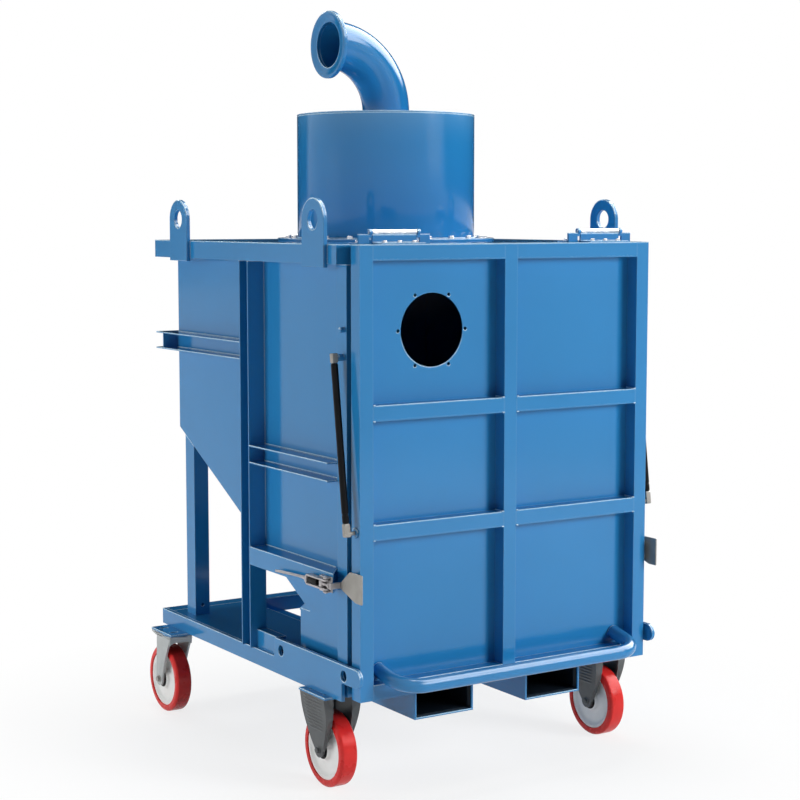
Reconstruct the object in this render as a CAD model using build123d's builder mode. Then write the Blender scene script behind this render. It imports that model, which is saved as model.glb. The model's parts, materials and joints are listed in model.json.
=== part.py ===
from build123d import *
import os
from math import hypot, pi

# Mobile cyclone separator on castors, with a top-hinged discharge door at the front.
# Millimetres, +Z up, the door faces -Y, origin on the floor under the middle of the machine.

# Wheels and castors
front_axle_y = 180.0  # behind the door's front face
rear_axle_inset = 4.0  # ahead of the rear sheet
wheel_d = 200.0
wheel_w = 50.0
tyre_t = 19.0
hub_boss_w = 56.0
hub_boss_r = 24.0
hub_web_w = 24.0
hub_soft = 2.0
web_cone = 7.0
rim_t = 9.0
rim_inset = 4.0
axle_r = 8.0
axle_end = 4.0
run_fit = 0.05  # radial clearance of every turning pin
castor_plate_t = 6.0
castor_plate_l = 136.0
fixed_plate_w = 114.0
plate_lip = 6.0
slot_l = 26.0
slot_w = 11.0
swivel_plate_w = 96.0
fixed_out = 2.0  # front wheel's middle beyond the side sheet
swivel_out = 44.0  # swivel axis beyond the side sheet
fork_t = 6.0
fork_side_gap = 6.0  # wheel face to the inside of a fork leg
fork_foot = 40.0
rib_count = 5
rib_r = 3.0
rib_sink = 1.5
rib_share = 0.55  # rib's length over the leg's width
swivel_head_r = 42.0
swivel_head_h = 8.0
swivel_gap = 0.5
swivel_crown_t = 7.0
trail = 43.0
pedal_reach = 92.0  # brake pedal's end behind the swivel axis
pedal_w = 46.0
pedal_t = 5.0
pedal_lead = 6.0
pedal_drop = 8.0
pedal_pin_r = 4.0
pedal_tip = 18.0
pedal_lift = 6.0

# Base frame
base_z = 255.0
rail_h = 45.0
rail_w = 257.0
rail_out = 29.0  # rails beyond the side sheets
rail_wall = 4.0
rail_overrun = 5.0  # rails behind the rear sheet
cross_w = 50.0
pocket_w = 184.0
pocket_h = 75.0
pocket_wall = 5.0
pocket_pitch = 356.0  # between the middles of the two fork pockets
plate_t = 10.0
plate_rise = 52.0  # tall front part of a side plate above the rails
plate_hole_r = 14.5
plate_bevel = 6.0
plate_hole_inset = 39.0
plate_hole_rise = 22.0
plate_front_hole_y = 52.0
plate_front_hole_drop = 4.0
ear_r = 24.0
ear_lead = 4.0  # ear's middle ahead of the door's front face
block_h = 50.0
block_l = 113.0  # from the side plate's step back to the side post

# Hopper
handle_reach = 95.0  # handle's front face ahead of the door
body_len = 1067.0  # door's front face to the rear sheet
body_w = 924.0
body_top = 1413.0
door_z = 263.5
door_tube = 40.0
tube_wall = 3.0
seal_gap = 22.0
seal_w = 24.0
seal_fit = 0.5
sheet_t = 4.0
frame_tube = 50.0
frame_depth = 48.0
wall_inset = 21.0  # side sheets inside the front frame's outer face
top_tube = 50.0
channel_t = 4.0
floor_rear_z = 858.0
floor_front_z = 321.3
skirt_z = 443.0
skirt_step = 50.0  # skirt's rear edge behind the floor's line
leg_w = 46.0
leg_l = 55.0
leg_inset = 92.0  # leg's front face ahead of the rear sheet
leg_hole_r = 4.5
leg_hole_rise = 30.0
post_inset = 535.0  # post's front face ahead of the rear sheet
post_l = 51.0
rear_stiffener_z = 1092.0
front_stiffener_z = 813.0
ledge_z = 533.0
ledge_gap = 5.3  # latch hook's back to the ledge's front corner
ledge_mitre = 63.0

# Lifting lugs
lug_w = 110.0
lug_t = 12.0
lug_rise = 116.0
lug_drop = 58.0
lug_hole_r = 25.0
lug_front_y = 160.0
lug_inset = 132.0  # rear lug's middle ahead of the rear sheet

# Cyclone drum and outlet
drum_inset = 455.0  # drum's middle ahead of the rear sheet
drum_r = 253.0
drum_h = 348.0
drum_flange_r = 310.0
drum_flange_t = 8.0
pipe_r = 66.5
pipe_wall = 4.0
bend_r = 180.0
pipe_rise = 9.0
outlet_flange_r = 93.0
outlet_flange_t = 14.0

# Door
panel_t = 3.0
rail_low_z = 672.0
rail_high_z = 973.0
inlet_r = 95.0
inlet_z = 1194.0
inlet_bolt_d = 206.0
inlet_hole_r = 4.5
inlet_holes = 6
handle_r = 19.0
handle_inset = 77.0  # door's side to the middle of the handle's leg
handle_bend = 70.0
handle_z = 306.0

# Door hinges
hinge_inset = 133.0  # door's side to the middle of a hinge
hinge_y = 50.0  # pin behind the door's front face
hinge_rise = 30.0  # pin above the top of the door
hinge_pin_r = 4.0
barrel_r = 6.5
barrel_l = 131.0
leaf_t = 6.0
foot_t = 4.0
bracket_w = 31.0
bracket_foot = 45.0  # bracket's foot behind the pin
bracket_gap = 10.0  # middle leaf to the bracket beside it
ear_t = 8.0
ear_eye_r = 7.5

# Gas springs, seen from the side: upper eye on the body, lower eye on the door
spring_out = 26.0  # spring's middle plane beyond the door's side
spring_top_y = 80.0
spring_top_z = 1131.0
spring_low_y = 21.0
spring_low_z = 694.0
spring_tube_r = 9.0
spring_rod_r = 4.0
spring_eye_r = 9.0
spring_eye_w = 14.0
spring_neck_r = 6.0
spring_stud_r = 5.0
spring_end = 26.0  # lower eye to the tube's end
spring_bore = 345.0
spring_grip = 15.0  # rod's inner end to the bottom of the bore
pad_t = 3.0
pad_r = 14.0
pad_gap = 0.5
stop_stud_z = 1200.0
stop_stud_l = 14.0

# Door latches
latch_z = 554.0
latch_out = 12.0  # lever's pivot beyond the ledge's outer face
latch_inset = 16.0  # pivot behind the ledge's front corner
latch_throw = 22.0  # pivot to the rod's pin
latch_pin_r = 3.0
latch_plate_t = 3.0
cheek_t = 4.0
cheek_gap = 32.0
latch_base_tail = 40.0  # base plate's end behind the pivot
cheek_tail = 34.0
latch_base_lead = 2.0
lever_gap = 18.0
lever_side_t = 5.0
lever_half = 8.0
lever_frame = 100.0  # slotted part behind the pivot
lever_taper = 12.0
lever_neck = 25.0
lever_tail = 266.0
lever_tail_half = 3.5
latch_rod_r = 4.0
hook_t = 8.0
hook_gap = 0.7
keeper_t = 4.0
keeper_out = 12.0  # keeper plate beyond the door's side
keeper_tip_y = 68.0
keeper_front_y = -34.0
keeper_low_z = 521.0
keeper_high_z = 596.0
keeper_stud_r = 9.0
keeper_stud_inset = 18.0
keeper_low_cut = 20.0
keeper_high_cut = 8.0

# Places that follow from the sizes above
rear_axle_y = body_len - rear_axle_inset
floor_slope = (floor_rear_z - floor_front_z) / (body_len - door_tube - seal_gap)
axle_z = wheel_d / 2
wheel_r = wheel_d / 2
door_y = (handle_reach - rear_axle_y - wheel_r) / 2
half_w = body_w / 2
handle_half = half_w - handle_inset
hinge_x = half_w - hinge_inset
wall_x = half_w - wall_inset
tube_x = wall_x + top_tube
frame_y = door_y + door_tube + seal_gap
post_y = body_len - post_inset
leg_y = body_len - leg_inset
lug_rear_y = body_len - lug_inset
drum_y = body_len - drum_inset
wall_y = frame_y + frame_depth
rear_y = door_y + body_len
deck_z = base_z + rail_h
rail_x = wall_x + rail_out
rail_end_y = rear_y + rail_overrun
rail_rear_y = rail_end_y + cross_w
roof_z = body_top - sheet_t
frame_in = half_w - frame_tube
top_tube_z = body_top - top_tube
swivel_y = door_y + rear_axle_y - trail
fixed_x = wall_x + fixed_out
swivel_x = wall_x + swivel_out
pin_y = door_y + hinge_y
pin_z = body_top + hinge_rise
spring_x = half_w + spring_out
latch_x = tube_x + latch_out


def floor_line(y):
    return floor_rear_z - floor_slope * (rear_y - y)


def span(start, end):
    return (start + end) / 2, abs(end - start)


def block(xs, ys, zs, mode=Mode.ADD):
    # A straight bar between two values on each axis
    (cx, dx), (cy, dy), (cz, dz) = span(*xs), span(*ys), span(*zs)
    with Locations((cx, cy, cz)):
        Box(dx, dy, dz, mode=mode)


def hollow_bar(xs, ys, zs, wall, along):
    # A rectangular hollow section, open at both ends of the axis it runs along
    block(xs, ys, zs)
    inner = [xs, ys, zs]
    for number, pair in enumerate(inner):
        if number != "XYZ".index(along):
            inner[number] = (min(pair) + wall, max(pair) - wall)
    block(*inner, mode=Mode.SUBTRACT)


def both_sides(inner, outer):
    return [tuple(sorted((side * inner, side * outer))) for side in (-1, 1)]


def disc_x(x_range, y, z, radius, mode=Mode.ADD):
    # A round boss or bore along X
    middle, width = span(*x_range)
    with Locations(Location((middle, y, z), (0, 90, 0))):
        Cylinder(radius, width, mode=mode)


def disc_z(x, y, z_range, radius, mode=Mode.ADD):
    middle, height = span(*z_range)
    with Locations((x, y, middle)):
        Cylinder(radius, height, mode=mode)


def plate_x(x_range, points, mode=Mode.ADD):
    # A plate with its outline in the YZ plane
    with BuildSketch(Plane.YZ.offset(min(x_range))) as outline:
        with BuildLine():
            Polyline(*points, close=True)
        make_face()
    extrude(outline.sketch, amount=abs(x_range[1] - x_range[0]), mode=mode)


def channel(xs, ys, zs, open_towards):
    # A folded channel: a full block with the space between its flanges taken out
    block(xs, ys, zs)
    inner = [list(xs), list(ys), list(zs)]
    axis, sign, run = open_towards
    cross = ({0, 1, 2} - {axis, run}).pop()
    inner[cross] = [min(inner[cross]) + channel_t, max(inner[cross]) - channel_t]
    if sign > 0:
        inner[axis] = [min(inner[axis]) + channel_t, max(inner[axis])]
    else:
        inner[axis] = [min(inner[axis]), max(inner[axis]) - channel_t]
    block(*inner, mode=Mode.SUBTRACT)


os.makedirs("parts", exist_ok=True)


def keep(builder, name):
    builder.part.label = name
    export_step(builder.part, f"parts/{name}.step")


# Base rails, cross members and fork pockets
with BuildPart() as base_rails:
    for xs in both_sides(rail_x - rail_w, rail_x):
        hollow_bar(xs, (wall_y, rail_end_y), (base_z, deck_z), rail_wall, "Y")
keep(base_rails, "base_rails")

cross_x = rail_x - rail_w
with BuildPart() as base_cross_members:
    hollow_bar((-cross_x, cross_x), (wall_y, wall_y + cross_w), (base_z, deck_z), rail_wall, "X")
    hollow_bar((-rail_x, rail_x), (rail_end_y, rail_rear_y), (base_z, deck_z), rail_wall, "X")
keep(base_cross_members, "base_cross_members")

pocket_in = (pocket_pitch - pocket_w) / 2
pocket_front = door_y + door_tube + 3.0
with BuildPart() as fork_pockets:
    for xs in both_sides(pocket_in, pocket_in + pocket_w):
        hollow_bar(xs, (pocket_front, rail_rear_y), (base_z - pocket_h, base_z), pocket_wall, "Y")
keep(fork_pockets, "fork_pockets")

# Side plates: low along the rails, tall beside the hopper's foot, with a round ear ahead of the door
plate_step_y = door_y + post_y - block_l
ear_y = door_y - ear_lead
ear_z = deck_z + plate_rise - ear_r
with BuildPart() as side_plates:
    for xs in both_sides(rail_x, rail_x + plate_t):
        with BuildSketch(Plane.YZ.offset(min(xs))) as side_outline:
            with BuildLine():
                Polyline(
                    (frame_y, base_z),
                    (rail_rear_y, base_z),
                    (rail_rear_y, deck_z),
                    (plate_step_y, deck_z),
                    (plate_step_y - plate_bevel, deck_z + plate_rise),
                    (ear_y, deck_z + plate_rise),
                    (ear_y, ear_z - ear_r),
                    (frame_y, ear_z - ear_r),
                    close=True,
                )
            make_face()
            with Locations((ear_y, ear_z)):
                Circle(ear_r)
            rear_hole = (plate_step_y - plate_hole_inset, deck_z + plate_hole_rise)
            front_hole = (door_y + plate_front_hole_y, ear_z - plate_front_hole_drop)
            with Locations(rear_hole, front_hole):
                Circle(plate_hole_r, mode=Mode.SUBTRACT)
        extrude(side_outline.sketch, amount=plate_t)
keep(side_plates, "side_plates")

# Blocks on the deck between the tall side plates and the posts
with BuildPart() as deck_blocks:
    for xs in both_sides(wall_x, rail_x):
        hollow_bar(xs, (plate_step_y, door_y + post_y), (deck_z, deck_z + block_h), tube_wall, "Y")
keep(deck_blocks, "deck_blocks")

# Hopper sheets
skirt_top_y = rear_y - (floor_rear_z - skirt_z) / floor_slope
skirt_y = skirt_top_y + skirt_step
with BuildPart() as hopper_side_walls:
    for xs in both_sides(wall_x - sheet_t, wall_x):
        plate_x(
            xs,
            [
                (wall_y, deck_z),
                (skirt_y, deck_z),
                (skirt_y, skirt_z),
                (skirt_top_y, skirt_z),
                (rear_y, floor_rear_z),
                (rear_y, roof_z),
                (wall_y, roof_z),
            ],
        )
keep(hopper_side_walls, "hopper_side_walls")

wall_in = wall_x - sheet_t
with BuildPart() as hopper_rear_wall:
    rear_foot = floor_line(rear_y - sheet_t)
    block((-wall_in, wall_in), (rear_y - sheet_t, rear_y), (rear_foot, roof_z))
keep(hopper_rear_wall, "hopper_rear_wall")


def floor_strip(half, y_front):
    y_back = rear_y - sheet_t
    plate_x(
        (-half, half),
        [
            (y_front, floor_line(y_front)),
            (y_back, floor_line(y_back)),
            (y_back, floor_line(y_back) + sheet_t),
            (y_front, floor_line(y_front) + sheet_t),
        ],
    )


with BuildPart() as hopper_floor:
    floor_strip(wall_in, wall_y)
    floor_strip(frame_in, frame_y)
keep(hopper_floor, "hopper_floor")

drum_cy = door_y + drum_y
drum_in = drum_r - sheet_t
with BuildPart() as roof_plate:
    block((-wall_x, wall_x), (wall_y, rear_y), (roof_z, body_top))
    disc_z(0, drum_cy, (roof_z - 1, body_top + 1), drum_in, Mode.SUBTRACT)
keep(roof_plate, "roof_plate")

# Tubes round the top, the front frame, posts and legs
with BuildPart() as top_side_tubes:
    for xs in both_sides(wall_x, tube_x):
        block(xs, (frame_y, rear_y + top_tube), (top_tube_z, body_top))
keep(top_side_tubes, "top_side_tubes")

with BuildPart() as top_rear_tube:
    block((-wall_x, wall_x), (rear_y, rear_y + top_tube), (top_tube_z, body_top))
keep(top_rear_tube, "top_rear_tube")

with BuildPart() as front_posts:
    for xs in both_sides(frame_in, half_w):
        hollow_bar(xs, (frame_y, wall_y), (door_z, top_tube_z), tube_wall, "Z")
keep(front_posts, "front_posts")

with BuildPart() as front_rails:
    hollow_bar((-frame_in, frame_in), (frame_y, wall_y), (door_z, door_z + frame_tube), tube_wall, "X")
    hollow_bar((-wall_x, wall_x), (frame_y, wall_y), (top_tube_z, body_top), tube_wall, "X")
keep(front_rails, "front_rails")

with BuildPart() as side_posts:
    for side, xs in zip((-1, 1), both_sides(wall_x, tube_x)):
        ys = (door_y + post_y, door_y + post_y + post_l)
        channel(xs, ys, (deck_z, top_tube_z), (0, side, 2))
keep(side_posts, "side_posts")

with BuildPart() as rear_legs:
    for xs in both_sides(wall_x - leg_w, wall_x):
        y0, y1 = door_y + leg_y, door_y + leg_y + leg_l
        plate_x(xs, [(y0, deck_z), (y1, deck_z), (y1, floor_line(y1)), (y0, floor_line(y0))])
        y0, y1 = y0 + tube_wall, y1 - tube_wall
        inside = (min(xs) + tube_wall, max(xs) - tube_wall)
        hollow = [(y0, deck_z), (y1, deck_z), (y1, floor_line(y1)), (y0, floor_line(y0))]
        plate_x(inside, hollow, Mode.SUBTRACT)
        hole_at = Location((sum(xs) / 2, door_y + leg_y, deck_z + leg_hole_rise), (90, 0, 0))
        with Locations(hole_at):
            Cylinder(leg_hole_r, 4 * tube_wall, mode=Mode.SUBTRACT)
keep(rear_legs, "rear_legs")

with BuildPart() as side_stiffeners:
    for side, xs in zip((-1, 1), both_sides(wall_x, tube_x)):
        zs = (rear_stiffener_z, rear_stiffener_z + top_tube)
        channel(xs, (door_y + post_y + post_l, rear_y), zs, (0, side, 1))
        zs = (front_stiffener_z, front_stiffener_z + top_tube)
        channel(xs, (wall_y, door_y + post_y), zs, (0, side, 1))
keep(side_stiffeners, "side_stiffeners")

with BuildPart() as rear_stiffener:
    zs = (rear_stiffener_z, rear_stiffener_z + top_tube)
    channel((-tube_x, tube_x), (rear_y, rear_y + top_tube), zs, (1, 1, 0))
keep(rear_stiffener, "rear_stiffener")

hook_back = door_y + keeper_tip_y + hook_gap + hook_t
ledge_front = hook_back + ledge_gap
with BuildPart() as latch_ledges:
    for side in (-1, 1):
        with BuildSketch(Plane.XY.offset(ledge_z)) as ledge_plan:
            with BuildLine():
                Polyline(
                    (side * wall_x, ledge_front + ledge_mitre),
                    (side * tube_x, ledge_front),
                    (side * tube_x, door_y + post_y),
                    (side * wall_x, door_y + post_y),
                    close=True,
                )
            make_face()
        extrude(ledge_plan.sketch, amount=top_tube)
keep(latch_ledges, "latch_ledges")

# Lifting lugs: the left pair hangs on the outside of the top tube, the right pair stands on the roof's edge
lug_eye_z = body_top + lug_rise - lug_w / 2
with BuildPart() as lifting_lugs:
    lug_sides = [((-tube_x - lug_t, -tube_x), body_top - lug_drop), ((wall_x - lug_t, wall_x), body_top)]
    for xs, lug_low in lug_sides:
        for lug_y in (door_y + lug_front_y, door_y + lug_rear_y):
            with BuildSketch(Plane.YZ.offset(min(xs))) as lug_outline:
                with Locations((lug_y, (lug_low + lug_eye_z) / 2)):
                    Rectangle(lug_w, lug_eye_z - lug_low)
                with Locations((lug_y, lug_eye_z)):
                    Circle(lug_w / 2)
                    Circle(lug_hole_r, mode=Mode.SUBTRACT)
            extrude(lug_outline.sketch, amount=lug_t)
keep(lifting_lugs, "lifting_lugs")

# Cyclone drum on its bolted ring, lid, outlet bend and outlet flange
drum_z = body_top + drum_flange_t
lid_z = drum_z + drum_h - sheet_t
lid_top = lid_z + sheet_t
pipe_in = pipe_r - pipe_wall
with BuildPart() as drum_flange:
    disc_z(0, drum_cy, (body_top, drum_z), drum_flange_r)
    disc_z(0, drum_cy, (body_top - 1, drum_z + 1), drum_in, Mode.SUBTRACT)
keep(drum_flange, "drum_flange")

with BuildPart() as cyclone_drum:
    disc_z(0, drum_cy, (drum_z, lid_z), drum_r)
    disc_z(0, drum_cy, (drum_z - 1, lid_z + 1), drum_in, Mode.SUBTRACT)
keep(cyclone_drum, "cyclone_drum")

with BuildPart() as drum_lid:
    disc_z(0, drum_cy, (lid_z, lid_top), drum_r)
    disc_z(0, drum_cy, (lid_z - 1, lid_top + 1), pipe_in, Mode.SUBTRACT)
keep(drum_lid, "drum_lid")

with BuildPart() as outlet_elbow:
    with BuildLine(Plane.XZ.offset(-drum_cy)) as bend_path:
        rise = Line((0, lid_top), (0, lid_top + pipe_rise))
        JernArc(rise @ 1, rise % 1, bend_r, 90)
    with BuildSketch(Plane.XY.offset(lid_top)) as pipe_section:
        with Locations((0, drum_cy)):
            Circle(pipe_r)
            Circle(pipe_in, mode=Mode.SUBTRACT)
    sweep(pipe_section.sketch, path=bend_path.wire())
keep(outlet_elbow, "outlet_elbow")

outlet_z = lid_top + pipe_rise + bend_r
outlet_x = -bend_r
outlet_soft = outlet_flange_t / 5
dish_t = outlet_flange_t * 0.7  # thickness where the rim's face dishes in to the bore
with BuildPart() as outlet_flange:
    with BuildSketch(Plane.XZ.offset(-drum_cy)) as rim_profile:
        with BuildLine():
            Polyline(
                (outlet_x, outlet_z + pipe_in),
                (outlet_x, outlet_z + outlet_flange_r - outlet_soft),
                (outlet_x - outlet_soft, outlet_z + outlet_flange_r),
                (outlet_x - outlet_flange_t + outlet_soft, outlet_z + outlet_flange_r),
                (outlet_x - outlet_flange_t, outlet_z + outlet_flange_r - outlet_soft),
                (outlet_x - outlet_flange_t, outlet_z + outlet_flange_r - 3 * outlet_soft),
                (outlet_x - dish_t, outlet_z + pipe_in + outlet_soft),
                (outlet_x - dish_t, outlet_z + pipe_in),
                close=True,
            )
        make_face()
    revolve(rim_profile.sketch, axis=Axis((0, drum_cy, outlet_z), (1, 0, 0)))
keep(outlet_flange, "outlet_flange")

# Door: stiles and rails of square tube, one sheet behind them, the push handle
door_back = door_y + door_tube
stile_in = half_w - door_tube
with BuildPart() as door_stiles:
    for xs in ((-half_w, -stile_in), (-door_tube / 2, door_tube / 2), (stile_in, half_w)):
        hollow_bar(xs, (door_y, door_back), (door_z, body_top), tube_wall, "Z")
keep(door_stiles, "door_stiles")

with BuildPart() as door_rails:
    for xs in both_sides(door_tube / 2, stile_in):
        for z in (door_z, rail_low_z, rail_high_z, body_top - door_tube):
            hollow_bar(xs, (door_y, door_back), (z, z + door_tube), tube_wall, "X")
keep(door_rails, "door_rails")

inlet_x = -(door_tube / 2 + stile_in) / 2
panel_edge = half_w - door_tube / 4
with BuildPart() as door_panel:
    with BuildSketch(Plane.XZ.offset(-door_back)) as panel_outline:
        with Locations((0, (door_z + body_top) / 2)):
            Rectangle(2 * panel_edge, body_top - door_z - door_tube / 2)
        with Locations((inlet_x, inlet_z)):
            Circle(inlet_r, mode=Mode.SUBTRACT)
            with PolarLocations(inlet_bolt_d / 2, inlet_holes):
                Circle(inlet_hole_r, mode=Mode.SUBTRACT)
    extrude(panel_outline.sketch, amount=-panel_t)
keep(door_panel, "door_panel")

handle_front = door_y - handle_reach + handle_r
handle_lift = door_z + door_tube + handle_r + 1.0 - handle_z
handle_run = door_y - handle_front
handle_back = door_back - handle_front
handle_tilt = Vector(0, handle_run, handle_lift).normalized()
handle_plane = Plane((0, handle_front, handle_z), x_dir=(1, 0, 0), z_dir=Vector(1, 0, 0).cross(handle_tilt))
handle_len = handle_back / handle_tilt.Y
with BuildPart() as door_handle:
    with BuildLine(handle_plane) as handle_path:
        FilletPolyline(
            (-handle_half, handle_len),
            (-handle_half, 0),
            (handle_half, 0),
            (handle_half, handle_len),
            radius=handle_bend,
        )
    grip = handle_path.wire()
    with BuildSketch(Plane(grip @ 0, x_dir=(1, 0, 0), z_dir=grip % 0)) as grip_section:
        Circle(handle_r)
    sweep(grip_section.sketch, path=grip)
    beyond = door_back + handle_r * 2
    block((-half_w, half_w), (door_back, beyond), (door_z, rail_low_z), mode=Mode.SUBTRACT)
keep(door_handle, "door_handle")

# Seal between the door's sheet and the front frame
seal_out = half_w - (frame_tube - seal_w) / 2
with BuildPart() as door_seal:
    with BuildSketch(Plane.XZ.offset(-frame_y)) as seal_outline:
        with Locations((0, (door_z + body_top) / 2)):
            seal_h = body_top - door_z - (frame_tube - seal_w)
            Rectangle(2 * seal_out, seal_h)
            Rectangle(2 * (seal_out - seal_w), seal_h - 2 * seal_w, mode=Mode.SUBTRACT)
    extrude(seal_outline.sketch, amount=seal_gap - panel_t - seal_fit)
keep(door_seal, "door_seal")

# Door hinges: two brackets with eyes on the front frame, a leaf and barrel on the door, one pin each
leaf_half = barrel_l / 2
bracket_in = leaf_half + bracket_gap
with BuildPart() as hinge_brackets:
    for side in (-1, 1):
        for end in (-1, 1):
            near = side * hinge_x + end * bracket_in
            far = near + end * bracket_w
            eye = (near, near - end * ear_t)
            block((near, far), (pin_y - leaf_t / 2, pin_y + bracket_foot), (body_top, body_top + foot_t))
            upright = (body_top, pin_z - hinge_pin_r - 1.0)
            block((near, far), (pin_y - leaf_t / 2, pin_y + leaf_t / 2), upright)
            block((far, eye[1]), (pin_y - leaf_t / 2, pin_y + leaf_t / 2), (pin_z - 14.0, upright[1]))
            disc_x(eye, pin_y, pin_z, ear_eye_r)
            disc_x((far, eye[1] - end), pin_y, pin_z, hinge_pin_r, Mode.SUBTRACT)
keep(hinge_brackets, "hinge_brackets")

with BuildPart() as hinge_pins:
    for side in (-1, 1):
        reach = bracket_in
        disc_x((side * hinge_x - reach, side * hinge_x + reach), pin_y, pin_z, hinge_pin_r)
keep(hinge_pins, "hinge_pins")

with BuildPart() as hinge_leaves:
    for side in (-1, 1):
        xs = (side * hinge_x - leaf_half, side * hinge_x + leaf_half)
        block(xs, (door_y + 5.0, pin_y + leaf_t / 2), (body_top, body_top + foot_t))
        block(xs, (pin_y - leaf_t / 2, pin_y + leaf_t / 2), (body_top, pin_z - 2.0))
        disc_x(xs, pin_y, pin_z, barrel_r, Mode.SUBTRACT)
keep(hinge_leaves, "hinge_leaves")

with BuildPart() as hinge_barrels:
    for side in (-1, 1):
        xs = (side * hinge_x - leaf_half, side * hinge_x + leaf_half)
        disc_x(xs, pin_y, pin_z, barrel_r)
        disc_x(xs, pin_y, pin_z, hinge_pin_r + run_fit, Mode.SUBTRACT)
keep(hinge_barrels, "hinge_barrels")

# Gas springs: studs on the body, pads on the door, a tube and a rod on each side
spring_top = (door_y + spring_top_y, spring_top_z)
spring_low = (door_y + spring_low_y, spring_low_z)
spring_len = hypot(spring_low[0] - spring_top[0], spring_low[1] - spring_top[1])
spring_dir = Vector(0, spring_low[0] - spring_top[0], spring_low[1] - spring_top[1]).normalized()
eye_in = spring_x - spring_eye_w / 2
eye_out = spring_x + spring_eye_w / 2

with BuildPart() as spring_studs:
    for side in (-1, 1):
        disc_x((side * half_w, side * eye_out), *spring_top, spring_stud_r)
        disc_x((side * half_w, side * (eye_in - 2.0)), *spring_top, spring_stud_r * 1.8)
        stop_x = (side * half_w, side * (half_w + stop_stud_l))
        disc_x(stop_x, spring_top[0] - 5.0, stop_stud_z, spring_stud_r * 1.4)
keep(spring_studs, "spring_studs")

with BuildPart() as spring_pads:
    for side in (-1, 1):
        disc_x((side * half_w, side * (half_w + pad_t)), *spring_low, pad_r)
keep(spring_pads, "spring_pads")


def spring_axis(side, distance):
    # Plane across the spring, at a distance from its upper eye
    top = Vector(side * spring_x, *spring_top)
    return Plane(top + spring_dir * distance, x_dir=(1, 0, 0), z_dir=spring_dir)


for side, hand in ((-1, "left"), (1, "right")):
    tube_end = spring_len - spring_end
    with BuildPart() as spring_tube:
        with BuildSketch(spring_axis(side, spring_eye_r)) as barrel_section:
            Circle(spring_tube_r)
        extrude(barrel_section.sketch, amount=tube_end - spring_eye_r)
        with BuildSketch(spring_axis(side, 0)) as neck_section:
            Circle(spring_neck_r)
        extrude(neck_section.sketch, amount=spring_eye_r * 1.5)
        disc_x((side * eye_in, side * eye_out), *spring_top, spring_eye_r)
        bore = spring_stud_r + run_fit
        disc_x((side * (eye_in - 1), side * (eye_out + 1)), *spring_top, bore, Mode.SUBTRACT)
        with BuildSketch(spring_axis(side, tube_end)) as rod_bore:
            Circle(spring_rod_r + run_fit)
        extrude(rod_bore.sketch, amount=-spring_bore, mode=Mode.SUBTRACT)
    keep(spring_tube, f"spring_tube_{hand}")

    with BuildPart() as spring_rod:
        rod_start = tube_end - spring_bore + spring_grip
        with BuildSketch(spring_axis(side, rod_start)) as rod_section:
            Circle(spring_rod_r)
        extrude(rod_section.sketch, amount=spring_len - rod_start)
        with BuildSketch(spring_axis(side, tube_end + 2.0)) as collar_section:
            Circle(spring_neck_r)
        extrude(collar_section.sketch, amount=spring_end - 2.0)
        disc_x((side * eye_in, side * eye_out), *spring_low, spring_eye_r)
        disc_x((side * (half_w + pad_t + pad_gap), side * eye_out), *spring_low, spring_stud_r)
    keep(spring_rod, f"spring_rod_{hand}")

# Door latches on the ledges: a base with two cheeks, a slotted lever between them, a rod with a hook
pivot_y = ledge_front + latch_inset
rod_pin_y = pivot_y + latch_throw
cheek_low = latch_z - cheek_gap / 2
cheek_high = latch_z + cheek_gap / 2
with BuildPart() as latch_bases:
    for side in (-1, 1):
        plate_ys = (ledge_front + latch_base_lead, pivot_y + latch_base_tail)
        plate_zs = (cheek_low - cheek_t, cheek_high + cheek_t)
        block((side * tube_x, side * (tube_x + latch_plate_t)), plate_ys, plate_zs)
        for zs in ((plate_zs[0], cheek_low), (cheek_high, plate_zs[1])):
            block((side * tube_x, side * latch_x), (pivot_y - lever_half, pivot_y + cheek_tail), zs)
            disc_z(side * latch_x, pivot_y, zs, lever_half)
            disc_z(side * latch_x, pivot_y, (zs[0] - 1, zs[1] + 1), latch_pin_r + run_fit, Mode.SUBTRACT)
keep(latch_bases, "latch_bases")

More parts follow.
